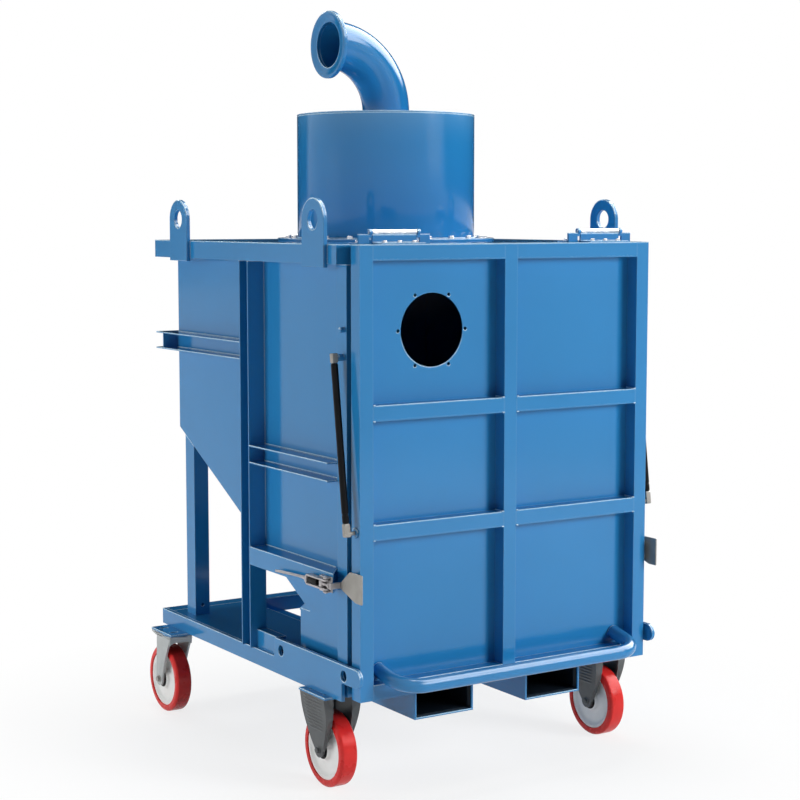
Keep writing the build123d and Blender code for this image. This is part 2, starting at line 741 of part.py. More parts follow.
keeper_x = half_w + keeper_out
for side, hand in ((-1, "left"), (1, "right")):
    gap_low = latch_z - lever_gap / 2
    gap_high = latch_z + lever_gap / 2
    slot_end = pivot_y + lever_frame
    taper_y = slot_end - lever_taper
    tail_y = pivot_y + lever_tail
    low, high = gap_low - lever_side_t, gap_high + lever_side_t
    with BuildPart() as latch_lever:
        sides_x = (side * (latch_x - lever_half), side * (latch_x + lever_half))
        nose = [(slot_end, gap_low), (slot_end, gap_high)]
        plate_x(sides_x, [(pivot_y, low), (taper_y, low)] + nose + [(taper_y, high), (pivot_y, high)])
        slot_xs = (side * (latch_x - 2 * lever_half), side * (latch_x + 2 * lever_half))
        block(slot_xs, (pivot_y - lever_half, taper_y), (gap_low, gap_high), Mode.SUBTRACT)
        for zs in ((low, gap_low), (gap_high, high)):
            disc_z(side * latch_x, pivot_y, zs, lever_half)
        tail_low, tail_high = latch_z - lever_tail_half, latch_z + lever_tail_half
        tail_end = [(tail_y, tail_low), (tail_y, tail_high)]
        neck_y = slot_end + lever_neck
        plate_x(
            (side * (latch_x - lever_tail_half), side * (latch_x + lever_tail_half)),
            [(taper_y, gap_low), (slot_end, gap_low), (neck_y, tail_low)]
            + tail_end
            + [(neck_y, tail_high), (slot_end, gap_high), (taper_y, gap_high)],
        )
        pins = (cheek_low - cheek_t + 0.5, gap_low), (gap_high, cheek_high + cheek_t - 0.5)
        for zs in pins:
            disc_z(side * latch_x, pivot_y, zs, latch_pin_r)
        disc_z(side * latch_x, rod_pin_y, (gap_low, gap_high), latch_pin_r)
    keep(latch_lever, f"latch_lever_{hand}")

    with BuildPart() as latch_rod:
        eye_zs = (gap_low + 1.0, gap_high - 1.0)
        disc_z(side * latch_x, rod_pin_y, eye_zs, lever_half - 1.0)
        rod_len = rod_pin_y - hook_back + hook_t / 2
        with BuildSketch(Plane((side * latch_x, rod_pin_y, latch_z), z_dir=(0, -1, 0))) as rod_round:
            Circle(latch_rod_r)
        extrude(rod_round.sketch, amount=rod_len)
        hook_xs = (side * (keeper_x - 1.0), side * (latch_x + latch_rod_r))
        block(hook_xs, (hook_back - hook_t, hook_back), eye_zs)
        disc_z(side * latch_x, rod_pin_y, eye_zs, latch_pin_r + run_fit, Mode.SUBTRACT)
    keep(latch_rod, f"latch_rod_{hand}")

with BuildPart() as keeper_plates:
    for side in (-1, 1):
        xs = (side * keeper_x, side * (keeper_x + keeper_t))
        shoulder = door_y + (keeper_tip_y + keeper_front_y) / 2
        plate_x(
            xs,
            [
                (door_y + keeper_front_y, keeper_low_z),
                (shoulder - keeper_low_cut, keeper_low_z),
                (door_y + keeper_tip_y, latch_z - hook_t),
                (door_y + keeper_tip_y, latch_z + hook_t),
                (shoulder + keeper_high_cut, keeper_high_z),
                (door_y + keeper_front_y, keeper_high_z),
            ],
        )
keep(keeper_plates, "keeper_plates")

with BuildPart() as keeper_studs:
    for side in (-1, 1):
        for z in (keeper_low_z + keeper_stud_inset, keeper_high_z - keeper_stud_inset):
            disc_x((side * half_w, side * keeper_x), door_y + door_tube / 2, z, keeper_stud_r)
keep(keeper_studs, "keeper_studs")


# Castors at the front: a slotted plate and two pressed legs of channel section that taper to the axle
def leg_section(z, outer_x, out, y, half, depth):
    wall = fork_t * 2 / 3
    turn_in = [(0, -half), (0, half), (depth, half), (depth, half - wall), (wall, half - wall)]
    turn_in += [(wall, wall - half), (depth, wall - half), (depth, -half)]
    with BuildSketch(Plane.XY.offset(z)) as section:
        with BuildLine():
            Polyline(*[(outer_x - out * inward, y + along) for inward, along in turn_in], close=True)
        make_face()
    return section.sketch.face()


def plate_slots(x, y, spread_x, spread_y):
    with BuildSketch(Plane.XY.offset(crown_z)) as slots:
        with Locations((x, y)):
            with GridLocations(spread_x, spread_y, 2, 2):
                SlotOverall(slot_l, slot_w)
    extrude(slots.sketch, amount=castor_plate_t, mode=Mode.SUBTRACT)


leg_in = wheel_w / 2 + fork_side_gap
leg_out = leg_in + fork_t
crown_z = base_z - castor_plate_t
leg_top_half = castor_plate_l / 2 - plate_lip
with BuildPart() as fixed_castor_forks:
    for side in (-1, 1):
        x, y = side * fixed_x, door_y + front_axle_y
        plate_xs = (x - fixed_plate_w / 2, x + fixed_plate_w / 2)
        plate_ys = (y - castor_plate_l / 2, y + castor_plate_l / 2)
        block(plate_xs, plate_ys, (crown_z, base_z))
        plate_slots(x, y, fixed_plate_w - slot_l - 2 * plate_lip, castor_plate_l - 4 * plate_lip)
        for out in (-1, 1):
            top_x, low_x = x + out * fixed_plate_w / 2, x + out * leg_out
            top = leg_section(crown_z, top_x, out, y, leg_top_half, fixed_plate_w / 2 - leg_out)
            low = leg_section(axle_z, low_x, out, y, fork_foot / 2, fork_t)
            loft([top, low], ruled=True)
            disc_x((x + out * leg_in, low_x), y, axle_z, fork_foot / 2)
            for number in range(rib_count):
                share = (number + 1) / (rib_count + 2)
                rib_x = top_x + (low_x - top_x) * share - out * rib_sink
                rib_z = crown_z + (axle_z - crown_z) * share
                rib_l = 2 * (leg_top_half + (fork_foot / 2 - leg_top_half) * share) * rib_share
                with Locations(Location((rib_x, y, rib_z), (90, 0, 0))):
                    Cylinder(rib_r, rib_l)
        disc_x((x - leg_out - axle_end, x + leg_out + axle_end), y, axle_z, axle_r)
keep(fixed_castor_forks, "fixed_castor_forks")

# Swivel castors at the rear: slotted plate with a round head, fork with curved legs, brake pedal
head_z = crown_z - swivel_head_h
with BuildPart() as swivel_castor_plates:
    for side in (-1, 1):
        x = side * swivel_x
        plate_xs = (x - swivel_plate_w / 2, x + swivel_plate_w / 2)
        plate_ys = (swivel_y - castor_plate_l / 2, swivel_y + castor_plate_l / 2)
        block(plate_xs, plate_ys, (crown_z, base_z))
        plate_slots(x, swivel_y, swivel_plate_w - slot_l - 2 * plate_lip, castor_plate_l - 4 * plate_lip)
        disc_z(x, swivel_y, (head_z, crown_z), swivel_head_r)
keep(swivel_castor_plates, "swivel_castor_plates")

crown_top = head_z - swivel_gap
crown_low = crown_top - swivel_crown_t
pedal_y = swivel_y + swivel_head_r + pedal_lead
pedal_z = crown_low - pedal_drop
rear_axle = swivel_y + trail
crown_front = swivel_y - swivel_head_r / 2
crown_back = rear_axle + fork_foot / 3
foot_r = fork_foot / 2
for side, hand in ((-1, "left"), (1, "right")):
    x = side * swivel_x
    with BuildPart() as swivel_fork:
        disc_z(x, swivel_y, (crown_low, crown_top), swivel_head_r)
        block((x - leg_out, x + leg_out), (crown_front, crown_back), (crown_low, crown_top))
        for leg_x in (x - leg_out, x + leg_in):
            with BuildSketch(Plane.YZ.offset(leg_x)) as leg_outline:
                with BuildLine():
                    front_foot = (rear_axle - foot_r, axle_z)
                    back_foot = (rear_axle + foot_r, axle_z)
                    Line((crown_front, crown_low), (crown_back, crown_low))
                    Line((crown_back, crown_low), back_foot)
                    ThreePointArc(back_foot, (rear_axle, axle_z - foot_r), front_foot)
                    Spline(front_foot, (crown_front, crown_low), tangents=[(0, 1), (-1, 0.12)])
                make_face()
            extrude(leg_outline.sketch, amount=fork_t)
        disc_x((x - leg_out - axle_end, x + leg_out + axle_end), rear_axle, axle_z, axle_r)
        disc_x((x - leg_in - 1, x + leg_in + 1), pedal_y, pedal_z, pedal_pin_r)
    keep(swivel_fork, f"swivel_fork_{hand}")

    with BuildPart() as brake_pedal:
        pedal_xs = (x - pedal_w / 2, x + pedal_w / 2)
        pedal_end = swivel_y + pedal_reach
        under, over = pedal_z - pedal_t / 2, pedal_z + pedal_t / 2
        plate_x(
            pedal_xs,
            [
                (pedal_y, under),
                (pedal_end - pedal_tip, under),
                (pedal_end, under + pedal_lift),
                (pedal_end, over + pedal_lift),
                (pedal_end - pedal_tip, over),
                (pedal_y, over),
            ],
        )
        disc_x(pedal_xs, pedal_y, pedal_z, pedal_pin_r + pedal_t / 2)
        disc_x(pedal_xs, pedal_y, pedal_z, pedal_pin_r + run_fit, Mode.SUBTRACT)
    keep(brake_pedal, f"brake_pedal_{hand}")

# Wheels: a moulded hub turned from its profile, and the tyre bonded round its rim
rim_r = wheel_r - tyre_t
rim_half = wheel_w / 2 - rim_inset
boss_half = hub_boss_w / 2
web_half = hub_web_w / 2
hub_bore = axle_r + run_fit
right_half = [
    (rim_half, rim_r),
    (rim_half, rim_r - rim_t),
    (web_half, rim_r - rim_t - web_cone),
    (web_half, hub_boss_r + web_cone),
    (boss_half - hub_soft, hub_boss_r),
    (boss_half, hub_boss_r - hub_soft),
    (boss_half, hub_bore),
]
wheel_places = [
    ("front_left", -fixed_x, door_y + front_axle_y),
    ("front_right", fixed_x, door_y + front_axle_y),
    ("rear_left", -swivel_x, rear_axle),
    ("rear_right", swivel_x, rear_axle),
]
for corner, x, y in wheel_places:
    with BuildPart() as wheel_hub:
        with BuildSketch(Plane.XZ.offset(-y)) as hub_profile:
            with BuildLine():
                around = [(x + along, axle_z + radius) for along, radius in right_half]
                around += [(x - along, axle_z + radius) for along, radius in reversed(right_half)]
                Polyline(*around, close=True)
            make_face()
        revolve(hub_profile.sketch, axis=Axis((x, y, axle_z), (1, 0, 0)))
    keep(wheel_hub, f"wheel_hub_{corner}")

    with BuildPart() as wheel_tyre:
        disc_x((x - wheel_w / 2, x + wheel_w / 2), y, axle_z, wheel_r)
        fillet(wheel_tyre.edges().filter_by(GeomType.CIRCLE), tyre_t / 3)
        disc_x((x - wheel_w, x + wheel_w), y, axle_z, rim_r, Mode.SUBTRACT)
    keep(wheel_tyre, f"wheel_tyre_{corner}")
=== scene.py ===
import json
import math

import bmesh
import bpy
import numpy as np
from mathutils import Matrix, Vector


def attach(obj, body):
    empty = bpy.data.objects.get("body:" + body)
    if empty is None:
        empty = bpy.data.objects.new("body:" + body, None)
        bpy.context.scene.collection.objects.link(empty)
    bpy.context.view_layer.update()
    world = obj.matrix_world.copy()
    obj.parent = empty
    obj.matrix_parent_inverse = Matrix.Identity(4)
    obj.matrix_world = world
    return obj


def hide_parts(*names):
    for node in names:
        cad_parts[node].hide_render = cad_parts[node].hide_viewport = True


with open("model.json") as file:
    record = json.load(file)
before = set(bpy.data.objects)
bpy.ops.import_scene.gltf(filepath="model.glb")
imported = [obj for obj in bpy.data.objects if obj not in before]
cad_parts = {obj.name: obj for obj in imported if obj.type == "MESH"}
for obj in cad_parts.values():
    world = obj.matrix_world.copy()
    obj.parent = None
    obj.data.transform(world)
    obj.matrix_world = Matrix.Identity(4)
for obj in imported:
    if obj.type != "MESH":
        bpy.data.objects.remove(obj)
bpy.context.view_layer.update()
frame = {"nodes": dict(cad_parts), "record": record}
nodes = frame["nodes"]
print("frame loaded,", len(nodes), "nodes")

doorFace = -534.0  # door's front face in the frame, mm; Y below is counted from it
xAxis, yAxis, zAxis = (1, 0, 0), (0, 1, 0), (0, 0, 1)
hands = ((-1, "left"), (1, "right"))


def place(x, y, z):  # millimetres from the door's face to metres in the frame
    return np.array([x, y + doorFace, z], float) / 1000.0


def inFrame(points):  # the same for a whole array of points
    return place(0, 0, 0) + np.asarray(points).reshape(-1, 3) / 1000.0


# Finishes.

# bevel rays; where the painted edge highlight fades out (none) and how it favours upward edges (leanLow,
# leanHigh); depths of the grain and line bumps
sheenAndGrainLook = {"rays": 4, "none": 0.997, "leanLow": 0.06, "leanHigh": 0.34, "grainDeep": 0.0006,
            "lineDeep": 0.0003}
coatLook = {  # holds wherever a finish says nothing else
    "edge": None, "edgeShare": 0.4, "edgeFull": 0.86, "upper": None, "edgeRadius": 0.0010, "softRadius": None,
    "grainScale": 900.0, "grain": 0.10, "metal": 0.0, "coat": 0.0, "coatRough": 0.05, "ior": 1.5,
}


def newFinish(name):
    finish = bpy.data.materials.new(name)
    finish.use_nodes = True
    tree = finish.node_tree
    tree.nodes.clear()
    out = tree.nodes.new("ShaderNodeOutputMaterial")
    shader = tree.nodes.new("ShaderNodeBsdfPrincipled")
    tree.links.new(shader.outputs["BSDF"], out.inputs["Surface"])
    return finish, tree, shader


def addNode(tree, kind, inputs=None, **settings):
    node = tree.nodes.new(kind)
    for key, value in settings.items():
        setattr(node, key, value)
    for key, value in (inputs or {}).items():
        if isinstance(value, bpy.types.NodeSocket):
            tree.links.new(value, node.inputs[key])
        else:
            node.inputs[key].default_value = value
    return node


def noise(tree, where, scale, detail=2.0, rough=0.5):
    settings = {"Vector": where, "Scale": scale, "Detail": detail, "Roughness": rough}
    return addNode(tree, "ShaderNodeTexNoise", settings).outputs["Fac"]


def spread(tree, value, low, high, start=0.3, end=0.7):  # noise value to a range
    settings = {"Value": value, "From Min": start, "From Max": end, "To Min": low, "To Max": high}
    return addNode(tree, "ShaderNodeMapRange", settings).outputs["Result"]


def mixColour(tree, factor, first, second):
    return addNode(tree, "ShaderNodeMix", {0: factor, 6: first, 7: second}, data_type="RGBA").outputs[2]


def maths(tree, operation, first, second):
    return addNode(tree, "ShaderNodeMath", {0: first, 1: second}, operation=operation).outputs[0]


def dot(tree, first, second):
    node = addNode(tree, "ShaderNodeVectorMath", {0: first, 1: second}, operation="DOT_PRODUCT")
    return node.outputs["Value"]


def clouded(tree, cloud, look):  # the two base colours of a finish, mixed by a soft noise
    return mixColour(tree, spread(tree, cloud, 0.0, 1.0), look["dark"] + (1.0,), look["light"] + (1.0,))


def rounded(tree, radius):  # normal softened across an edge
    return addNode(tree, "ShaderNodeBevel", {"Radius": radius}, samples=sheenAndGrainLook["rays"]).outputs[0]


def bumped(tree, shader, height, normal, strength, deep):
    settings = {"Height": height, "Normal": normal, "Strength": strength, "Distance": deep}
    bump = addNode(tree, "ShaderNodeBump", settings)
    tree.links.new(bump.outputs[0], shader.inputs["Normal"])


def coated(name, look):  # paint, plating and plastic: clouded colour, a painted highlight along the edges, fine grain
    look = {**coatLook, **look}
    finish, tree, shader = newFinish(name)
    where = addNode(tree, "ShaderNodeTexCoord").outputs["Object"]
    cloud = noise(tree, where, look["cloudScale"], 3.0)
    grain = noise(tree, where, look["grainScale"], 2.0)
    colour = clouded(tree, cloud, look)
    edge = rounded(tree, look["edgeRadius"])
    if look["edge"]:
        # edge colour mixed in where the rounded normal turns away from the true one: a painted highlight
        # along the edges
        along = dot(tree, edge, addNode(tree, "ShaderNodeNewGeometry").outputs["True Normal"])
        edgeSheen = spread(tree, along, look["edgeShare"], 0.0, look["edgeFull"], sheenAndGrainLook["none"])
        if look["upper"]:  # painted highlight mostly on edges that face upwards
            lean = addNode(tree, "ShaderNodeSeparateXYZ", {0: edge}).outputs["Z"]
            high = spread(tree, lean, look["upper"], 1.0, sheenAndGrainLook["leanLow"], sheenAndGrainLook["leanHigh"])
            edgeSheen = maths(tree, "MULTIPLY", edgeSheen, high)
        colour = mixColour(tree, edgeSheen, colour, look["edge"] + (1.0,))
    tree.links.new(colour, shader.inputs["Base Color"])
    tree.links.new(spread(tree, cloud, *look["rough"]), shader.inputs["Roughness"])
    if look["softRadius"]:
        edge = rounded(tree, look["softRadius"])
    bumped(tree, shader, grain, edge, look["grain"], sheenAndGrainLook["grainDeep"])
    shader.inputs["Metallic"].default_value = look["metal"]
    shader.inputs["Coat Weight"].default_value = look["coat"]
    shader.inputs["Coat Roughness"].default_value = look["coatRough"]
    shader.inputs["IOR"].default_value = look["ior"]
    return finish


def brushed(name, look):  # bare metal with fine lines along one axis
    finish, tree, shader = newFinish(name)
    where = addNode(tree, "ShaderNodeTexCoord").outputs["Object"]
    lines = addNode(tree, "ShaderNodeMapping", {"Vector": where, "Scale": look["stretch"]}).outputs["Vector"]
    scratch = noise(tree, lines, look["lineScale"], 4.0, 0.65)
    cloud = noise(tree, where, look["cloudScale"], 2.0)
    tree.links.new(clouded(tree, cloud, look), shader.inputs["Base Color"])
    tree.links.new(spread(tree, scratch, *look["rough"]), shader.inputs["Roughness"])
    bumped(tree, shader, scratch, rounded(tree, look["edgeRadius"]), look["grain"], sheenAndGrainLook["lineDeep"])
    shader.inputs["Metallic"].default_value = look["metal"]
    return finish


blueLook = {
    "dark": (0.017, 0.188, 0.434), "light": (0.021, 0.204, 0.472),
    # edge, edgeShare, edgeFull, upper: a painted highlight along the edges, mostly the upward ones
    "edge": (0.70, 0.93, 1.0), "edgeShare": 0.95, "edgeFull": 0.94, "upper": 0.05,
    "cloudScale": 2.2, "grainScale": 520.0, "grain": 0.04,
    "edgeRadius": 0.0050, "softRadius": 0.0012, "rough": (0.10, 0.15),
    "coat": 0.12, "coatRough": 0.02, "ior": 1.45,
}
bluePaint = coated("blue_paint", blueLook)
blueFill = coated("blue_fill", {**blueLook, "edge": None, "edgeRadius": 0.0001, "softRadius": None})
zincPlate = coated("zinc_plate", {
    "dark": (0.29, 0.275, 0.25), "light": (0.37, 0.355, 0.33), "edge": (0.62, 0.60, 0.57), "edgeShare": 0.5,
    "cloudScale": 34.0, "grain": 0.12, "rough": (0.38, 0.50), "metal": 0.35,
})
latchZinc = coated("latch_zinc", {
    "dark": (0.40, 0.375, 0.38), "light": (0.52, 0.49, 0.50), "edge": (0.74, 0.71, 0.72), "edgeShare": 0.5,
    "cloudScale": 40.0, "rough": (0.32, 0.44), "metal": 0.35,
})
forkGrey = coated("fork_grey", {
    "dark": (0.070, 0.075, 0.078), "light": (0.105, 0.112, 0.115), "edge": (0.24, 0.26, 0.26),
    "edgeShare": 0.6, "cloudScale": 26.0, "grainScale": 800.0, "grain": 0.16, "edgeRadius": 0.0012,
    "rough": (0.36, 0.48), "metal": 0.25,
})
forkLight = coated("fork_light", {
    "dark": (0.40, 0.42, 0.42), "light": (0.48, 0.50, 0.50), "edge": (0.70, 0.72, 0.72), "edgeShare": 0.5,
    "cloudScale": 24.0, "grainScale": 800.0, "grain": 0.12, "edgeRadius": 0.0012,
    "rough": (0.34, 0.46), "metal": 0.2,
})
springBlack = coated("spring_black", {
    "dark": (0.003, 0.003, 0.004), "light": (0.006, 0.006, 0.007), "edge": (0.03, 0.03, 0.033),
    "cloudScale": 20.0, "grain": 0.08, "edgeRadius": 0.0008, "rough": (0.30, 0.42), "ior": 1.22,
})
hubNylon = coated("hub_nylon", {
    "dark": (0.80, 0.80, 0.78), "light": (0.86, 0.86, 0.85), "edge": (0.90, 0.90, 0.89),
    "cloudScale": 30.0, "grainScale": 420.0, "edgeRadius": 0.0015, "rough": (0.36, 0.46),
})
tyreRed = coated("tyre_red", {
    "dark": (0.62, 0.018, 0.016), "light": (0.74, 0.030, 0.026), "edge": (0.80, 0.07, 0.06),
    "cloudScale": 22.0, "grainScale": 640.0, "edgeRadius": 0.0015, "rough": (0.24, 0.34), "ior": 1.36,
})
sealRubber = coated("seal_rubber", {
    "dark": (0.010, 0.010, 0.011), "light": (0.018, 0.018, 0.019),
    "cloudScale": 30.0, "grainScale": 700.0, "grain": 0.25, "rough": (0.62, 0.75),
})
# near-black finish for the sheets inside the fork pockets: painted shade over the blue paint
pocketShade = coated("pocket_painted_shade", {
    "dark": (0.004, 0.008, 0.014), "light": (0.010, 0.016, 0.024), "edge": (0.030, 0.045, 0.060),
    "edgeShare": 0.3, "cloudScale": 9.0, "grainScale": 300.0, "grain": 0.20, "rough": (0.50, 0.70),
    "ior": 1.25,
})
brightSteel = brushed("bright_steel", {
    "dark": (0.74, 0.73, 0.71), "light": (0.84, 0.83, 0.82), "stretch": (0.05, 1.0, 1.0), "lineScale": 1800.0,
    "cloudScale": 40.0, "grain": 0.10, "rough": (0.20, 0.34), "edgeRadius": 0.0006, "metal": 0.85,
})
finishes = {
    "blue_paint": bluePaint, "bright_steel": brightSteel, "zinc": zincPlate, "seal_rubber": sealRubber,
    "spring_black": springBlack, "fork_grey": forkGrey, "fork_light": forkLight, "hub_white": hubNylon,
    "tyre_red": tyreRed,
}
slotOf = {finish.name: slot for slot, finish in finishes.items()}
slotOf.update({"blue_fill": "blue_paint", "latch_zinc": "zinc", "pocket_painted_shade": "blue_paint"})
for entry in frame["record"]["subparts"]:
    mesh = nodes[entry["node"]].data
    mesh.materials.clear()
    mesh.materials.append(finishes[entry["material_slot"]])
print("finishes on the carried nodes")


# Surfaces.


def gridFaces(rows, cols, closeRows=False):
    # quad (r, c) joins (r, c), (r, c+1), (r+1, c+1), (r+1, c); columns wrap, and rows where closed
    r, c = np.meshgrid(np.arange(rows - (not closeRows)), np.arange(cols), indexing="ij")
    r1, c1 = (r + 1) % rows, (c + 1) % cols
    return np.stack([r * cols + c, r * cols + c1, r1 * cols + c1, r1 * cols + c], -1).reshape(-1, 4)


def unit(vector):
    vector = np.asarray(vector, float)
    return vector / np.linalg.norm(vector, axis=-1, keepdims=True)


def sideways(axis):  # two directions across an axis
    axis = unit(axis)
    rough = np.array([0.0, 0.0, 1.0]) if abs(axis[2]) < 0.9 else np.array([1.0, 0.0, 0.0])
    first = unit(np.cross(rough, axis))
    return axis, first, np.cross(axis, first)


def rounds(count):  # even turns round a circle
    return np.linspace(0.0, 2.0 * np.pi, count, endpoint=False)


def lathe(profile, centre, axis, steps=72, closed=False, turn=0.0):
    # point(i, k) = centre + along(i) axis + radius(i) (first cos k + second sin k), profile in mm
    profile = np.asarray(profile, float) / 1000.0
    axis, first, second = sideways(axis)
    angle = turn + rounds(steps)
    ring = np.cos(angle)[:, None] * first + np.sin(angle)[:, None] * second
    points = centre + profile[:, 0, None, None] * axis + profile[:, 1, None, None] * ring
    return points.reshape(-1, 3), gridFaces(len(profile), steps, closed)


def softLoop(corners, reach, steps=5):
    # each corner P becomes (1-s)^2 A + 2 s (1-s) P + s^2 B, with A and B at reach along its two sides
    corners = np.asarray(corners, float)
    reach = np.broadcast_to(np.asarray(reach, float), (len(corners),))[:, None]
    before, after = np.roll(corners, 1, 0), np.roll(corners, -1, 0)
    start = corners + unit(before - corners) * reach
    end = corners + unit(after - corners) * reach
    s = np.linspace(0.0, 1.0, steps)[None, :, None]
    curve = (1 - s) ** 2 * start[:, None] + 2 * s * (1 - s) * corners[:, None] + s**2 * end[:, None]
    return curve.reshape(-1, corners.shape[1])


def tubeAlong(path, radius, normal, sides=28, ends=True):
    # point(i, k) = path(i) + radius(i) (normal cos k + across(i) sin k), across = tangent x normal
    path = np.asarray(path, float)
    radius = np.broadcast_to(np.asarray(radius, float), (len(path),)).copy()
    tangent = unit(np.gradient(path, axis=0))
    normal = unit(normal)
    across = unit(np.cross(tangent, normal))
    if ends:
        path = np.concatenate([path[:1], path, path[-1:]])
        radius = np.concatenate([[0.0], radius, [0.0]])
        across = np.concatenate([across[:1], across, across[-1:]])
    angle = rounds(sides)
    ring = np.cos(angle)[None, :, None] * normal + np.sin(angle)[None, :, None] * across[:, None]
    points = path[:, None] + radius[:, None, None] * ring
    return points.reshape(-1, 3), gridFaces(len(path), sides)


def softBox(low, high, edge, steps=4):
    # point = middle + sign (half - edge) + edge direction, each octant gathered at its own corner
    low, high = place(*low), place(*high)
    low, high = np.minimum(low, high), np.maximum(low, high)
    edge = edge / 1000.0
    quarter = np.linspace(0.0, np.pi / 2, steps)
    lat = np.concatenate([quarter - np.pi / 2, quarter])[:, None]
    lon = np.concatenate([quarter + q * np.pi / 2 for q in range(4)])
    latSign = np.repeat([-1.0, 1.0], steps)[:, None]
    xSign = np.repeat([1.0, -1.0, -1.0, 1.0], steps)
    ySign = np.repeat([1.0, 1.0, -1.0, -1.0], steps)
    shape = (2 * steps, 4 * steps)
    ways = [np.cos(lat) * np.cos(lon), np.cos(lat) * np.sin(lon), np.broadcast_to(np.sin(lat), shape)]
    signs = np.stack([np.broadcast_to(sign, shape) for sign in (xSign, ySign, latSign)], -1)
    points = (low + high) / 2 + signs * ((high - low) / 2 - edge) + edge * np.stack(ways, -1)
    caps = np.array([[3, 2, 1, 0], [0, 1, 2, 3]]) * steps
    caps[1] += (2 * steps - 1) * 4 * steps
    return points.reshape(-1, 3), np.concatenate([gridFaces(*shape), caps])


def repeat(part, offsets):  # the same part at many places
    points, faces = part
    offsets = np.asarray(offsets, float).reshape(-1, 3)
    many = (points[None] + offsets[:, None]).reshape(-1, 3)
    starts = np.arange(len(offsets)) * len(points)
    return many, (faces[None] + starts[:, None, None]).reshape(-1, faces.shape[1])


def addPiece(name, parts, finish, body, stands=(), solid=None, joined=False, crease=34.0):
    starts = np.cumsum([0] + [len(points) for points, faces in parts])
    allPoints = np.concatenate([points for points, faces in parts])
    allFaces = np.concatenate([faces + start for (points, faces), start in zip(parts, starts)])
    mesh = bpy.data.meshes.new(name)
    mesh.from_pydata(allPoints.tolist(), [], allFaces.tolist())
    shape = bmesh.new()
    shape.from_mesh(mesh)
    bmesh.ops.remove_doubles(shape, verts=shape.verts, dist=2e-6)
    bmesh.ops.dissolve_degenerate(shape, edges=shape.edges, dist=1e-7)
    if joined:  # walls left between parts that meet face to face
        walls = [face for face in shape.faces if sum(len(edge.link_faces) > 2 for edge in face.edges) >= 2]
        bmesh.ops.delete(shape, geom=walls, context="FACES_ONLY")
    bmesh.ops.recalc_face_normals(shape, faces=shape.faces)
    shape.to_mesh(mesh)
    shape.free()
    mesh.polygons.foreach_set("use_smooth", np.ones(len(mesh.polygons), bool))
    mesh.set_sharp_from_angle(angle=math.radians(crease))
    mesh.materials.append(finish)
    piece = bpy.data.objects.new(name, mesh)
    bpy.context.scene.collection.objects.link(piece)
    if solid:
        sheet = piece.modifiers.new("sheet", "SOLIDIFY")
        sheet.thickness = solid / 1000.0
        sheet.offset = -1.0
    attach(piece, body)
    if stands:
        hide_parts(*stands)
    return piece


def boxEdge(halfA, halfB, turn):  # distance to a rectangle's edge at each turn
    across = halfA / np.maximum(np.abs(np.cos(turn)), 1e-9)
    return np.minimum(across, halfB / np.maximum(np.abs(np.sin(turn)), 1e-9))


def slotEdge(half, radius, turn):  # distance to a slot's edge: half-length between its centres, end radius
    side = radius / np.maximum(np.abs(np.sin(turn)), 1e-9)
    end = half * np.abs(np.cos(turn)) + np.sqrt(np.maximum(radius**2 - (half * np.sin(turn)) ** 2, 0.0))
    return np.where(np.abs(side * np.cos(turn)) <= half, side, end)


def holedPlate(centre, halves, slot, thick):
    # ring(r, t) = centre + reach(r, t) (cos t, sin t), from the plate's edge round to its slot and back
    corner = math.atan2(halves[1], halves[0])
    turn = np.sort(np.concatenate([rounds(72), [corner, np.pi - corner, np.pi + corner, 2 * np.pi - corner]]))
    outer, inner = boxEdge(*halves, turn), slotEdge(*slot, turn)
    reach = np.stack([outer, outer, inner, inner])
    height = np.array([0.0, thick, thick, 0.0])[:, None] + 0.0 * reach
    points = np.stack([reach * np.cos(turn), reach * np.sin(turn), height], -1).reshape(-1, 3)
    return centre + points / 1000.0, gridFaces(4, len(turn), True)


def sideSlab(outline, low, high, soft, side):
    # an outline in (y, z) carried from low to high in x, in rows: its middle, the edge drawn in by soft,
    # the edge twice, the edge drawn in, its middle
    outline = np.asarray(outline, float)
    middle = outline.mean(0) + 0 * outline
    inward = outline + unit(middle - outline) * soft
    rows = np.stack([middle, inward, outline, outline, inward, middle])
    depth = side * np.array([low, low, low + soft, high - soft, high, high])
    x = np.broadcast_to(depth[:, None], rows.shape[:2])
    return inFrame(np.stack([x, rows[..., 0], rows[..., 1]], -1)), gridFaces(6, len(outline))


def rodSection(low, high, radius):  # solid round bar between two places on its axis
    return [(low, 0.0), (low, radius), (high, radius), (high, 0.0)]


def sleeveSection(low, high, bore, radius, soft):  # the same with a bore, its edges softened
    return softLoop([(low, bore), (low, radius), (high, radius), (high, bore)], soft, 4)


def hexBolt(centre, axis, size):  # washer, hexagon head with a chamfer
    wash, top, wide = 0.22 * size, 0.9 * size, 0.92 * size
    shoulder = wash + 0.544 * size
    head = [(wash, 0.0), (wash, wide), (shoulder, wide), (top, 0.78 * size), (top, 0.0)]
    disc = [(0.0, 0.0), (0.0, 1.25 * size), (0.8 * wash, 1.25 * size), (wash, 1.15 * size), (wash, 0.0)]
    return [lathe(head, centre, axis, 6), lathe(disc, centre, axis, 24)]


# Cyclone drum, lid, ring, outlet.

drumSize = {
    "y": 612.0, "outer": 253.0, "inner": 249.0, "foot": 1421.0, "top": 1765.0, "lid": 1769.0, "steps": 160,
    "ring": 310.0, "ringLow": 1413.0, "bolts": 24, "boltCircle": 282.0, "boltTurn": 0.13, "bolt": 8.5,
    "pipe": 66.5, "bore": 62.5, "rise": 9.0, "bend": 180.0, "sides": 64,
}
drumFoot = place(0.0, drumSize["y"], 0.0)


def drumBand(name, node, ends, walls, soft, steps):
    # a rectangle between two heights and two radii, its corners softened, turned about the drum's axis
    low, high = (drumSize[end] for end in ends)
    outer, inner = (drumSize[wall] for wall in walls)
    section = softLoop([(low, outer), (high, outer), (high, inner), (low, inner)], soft, steps)
    addPiece(name, [lathe(section, drumFoot, zAxis, drumSize["steps"], True)], bluePaint, "hopper", [node])


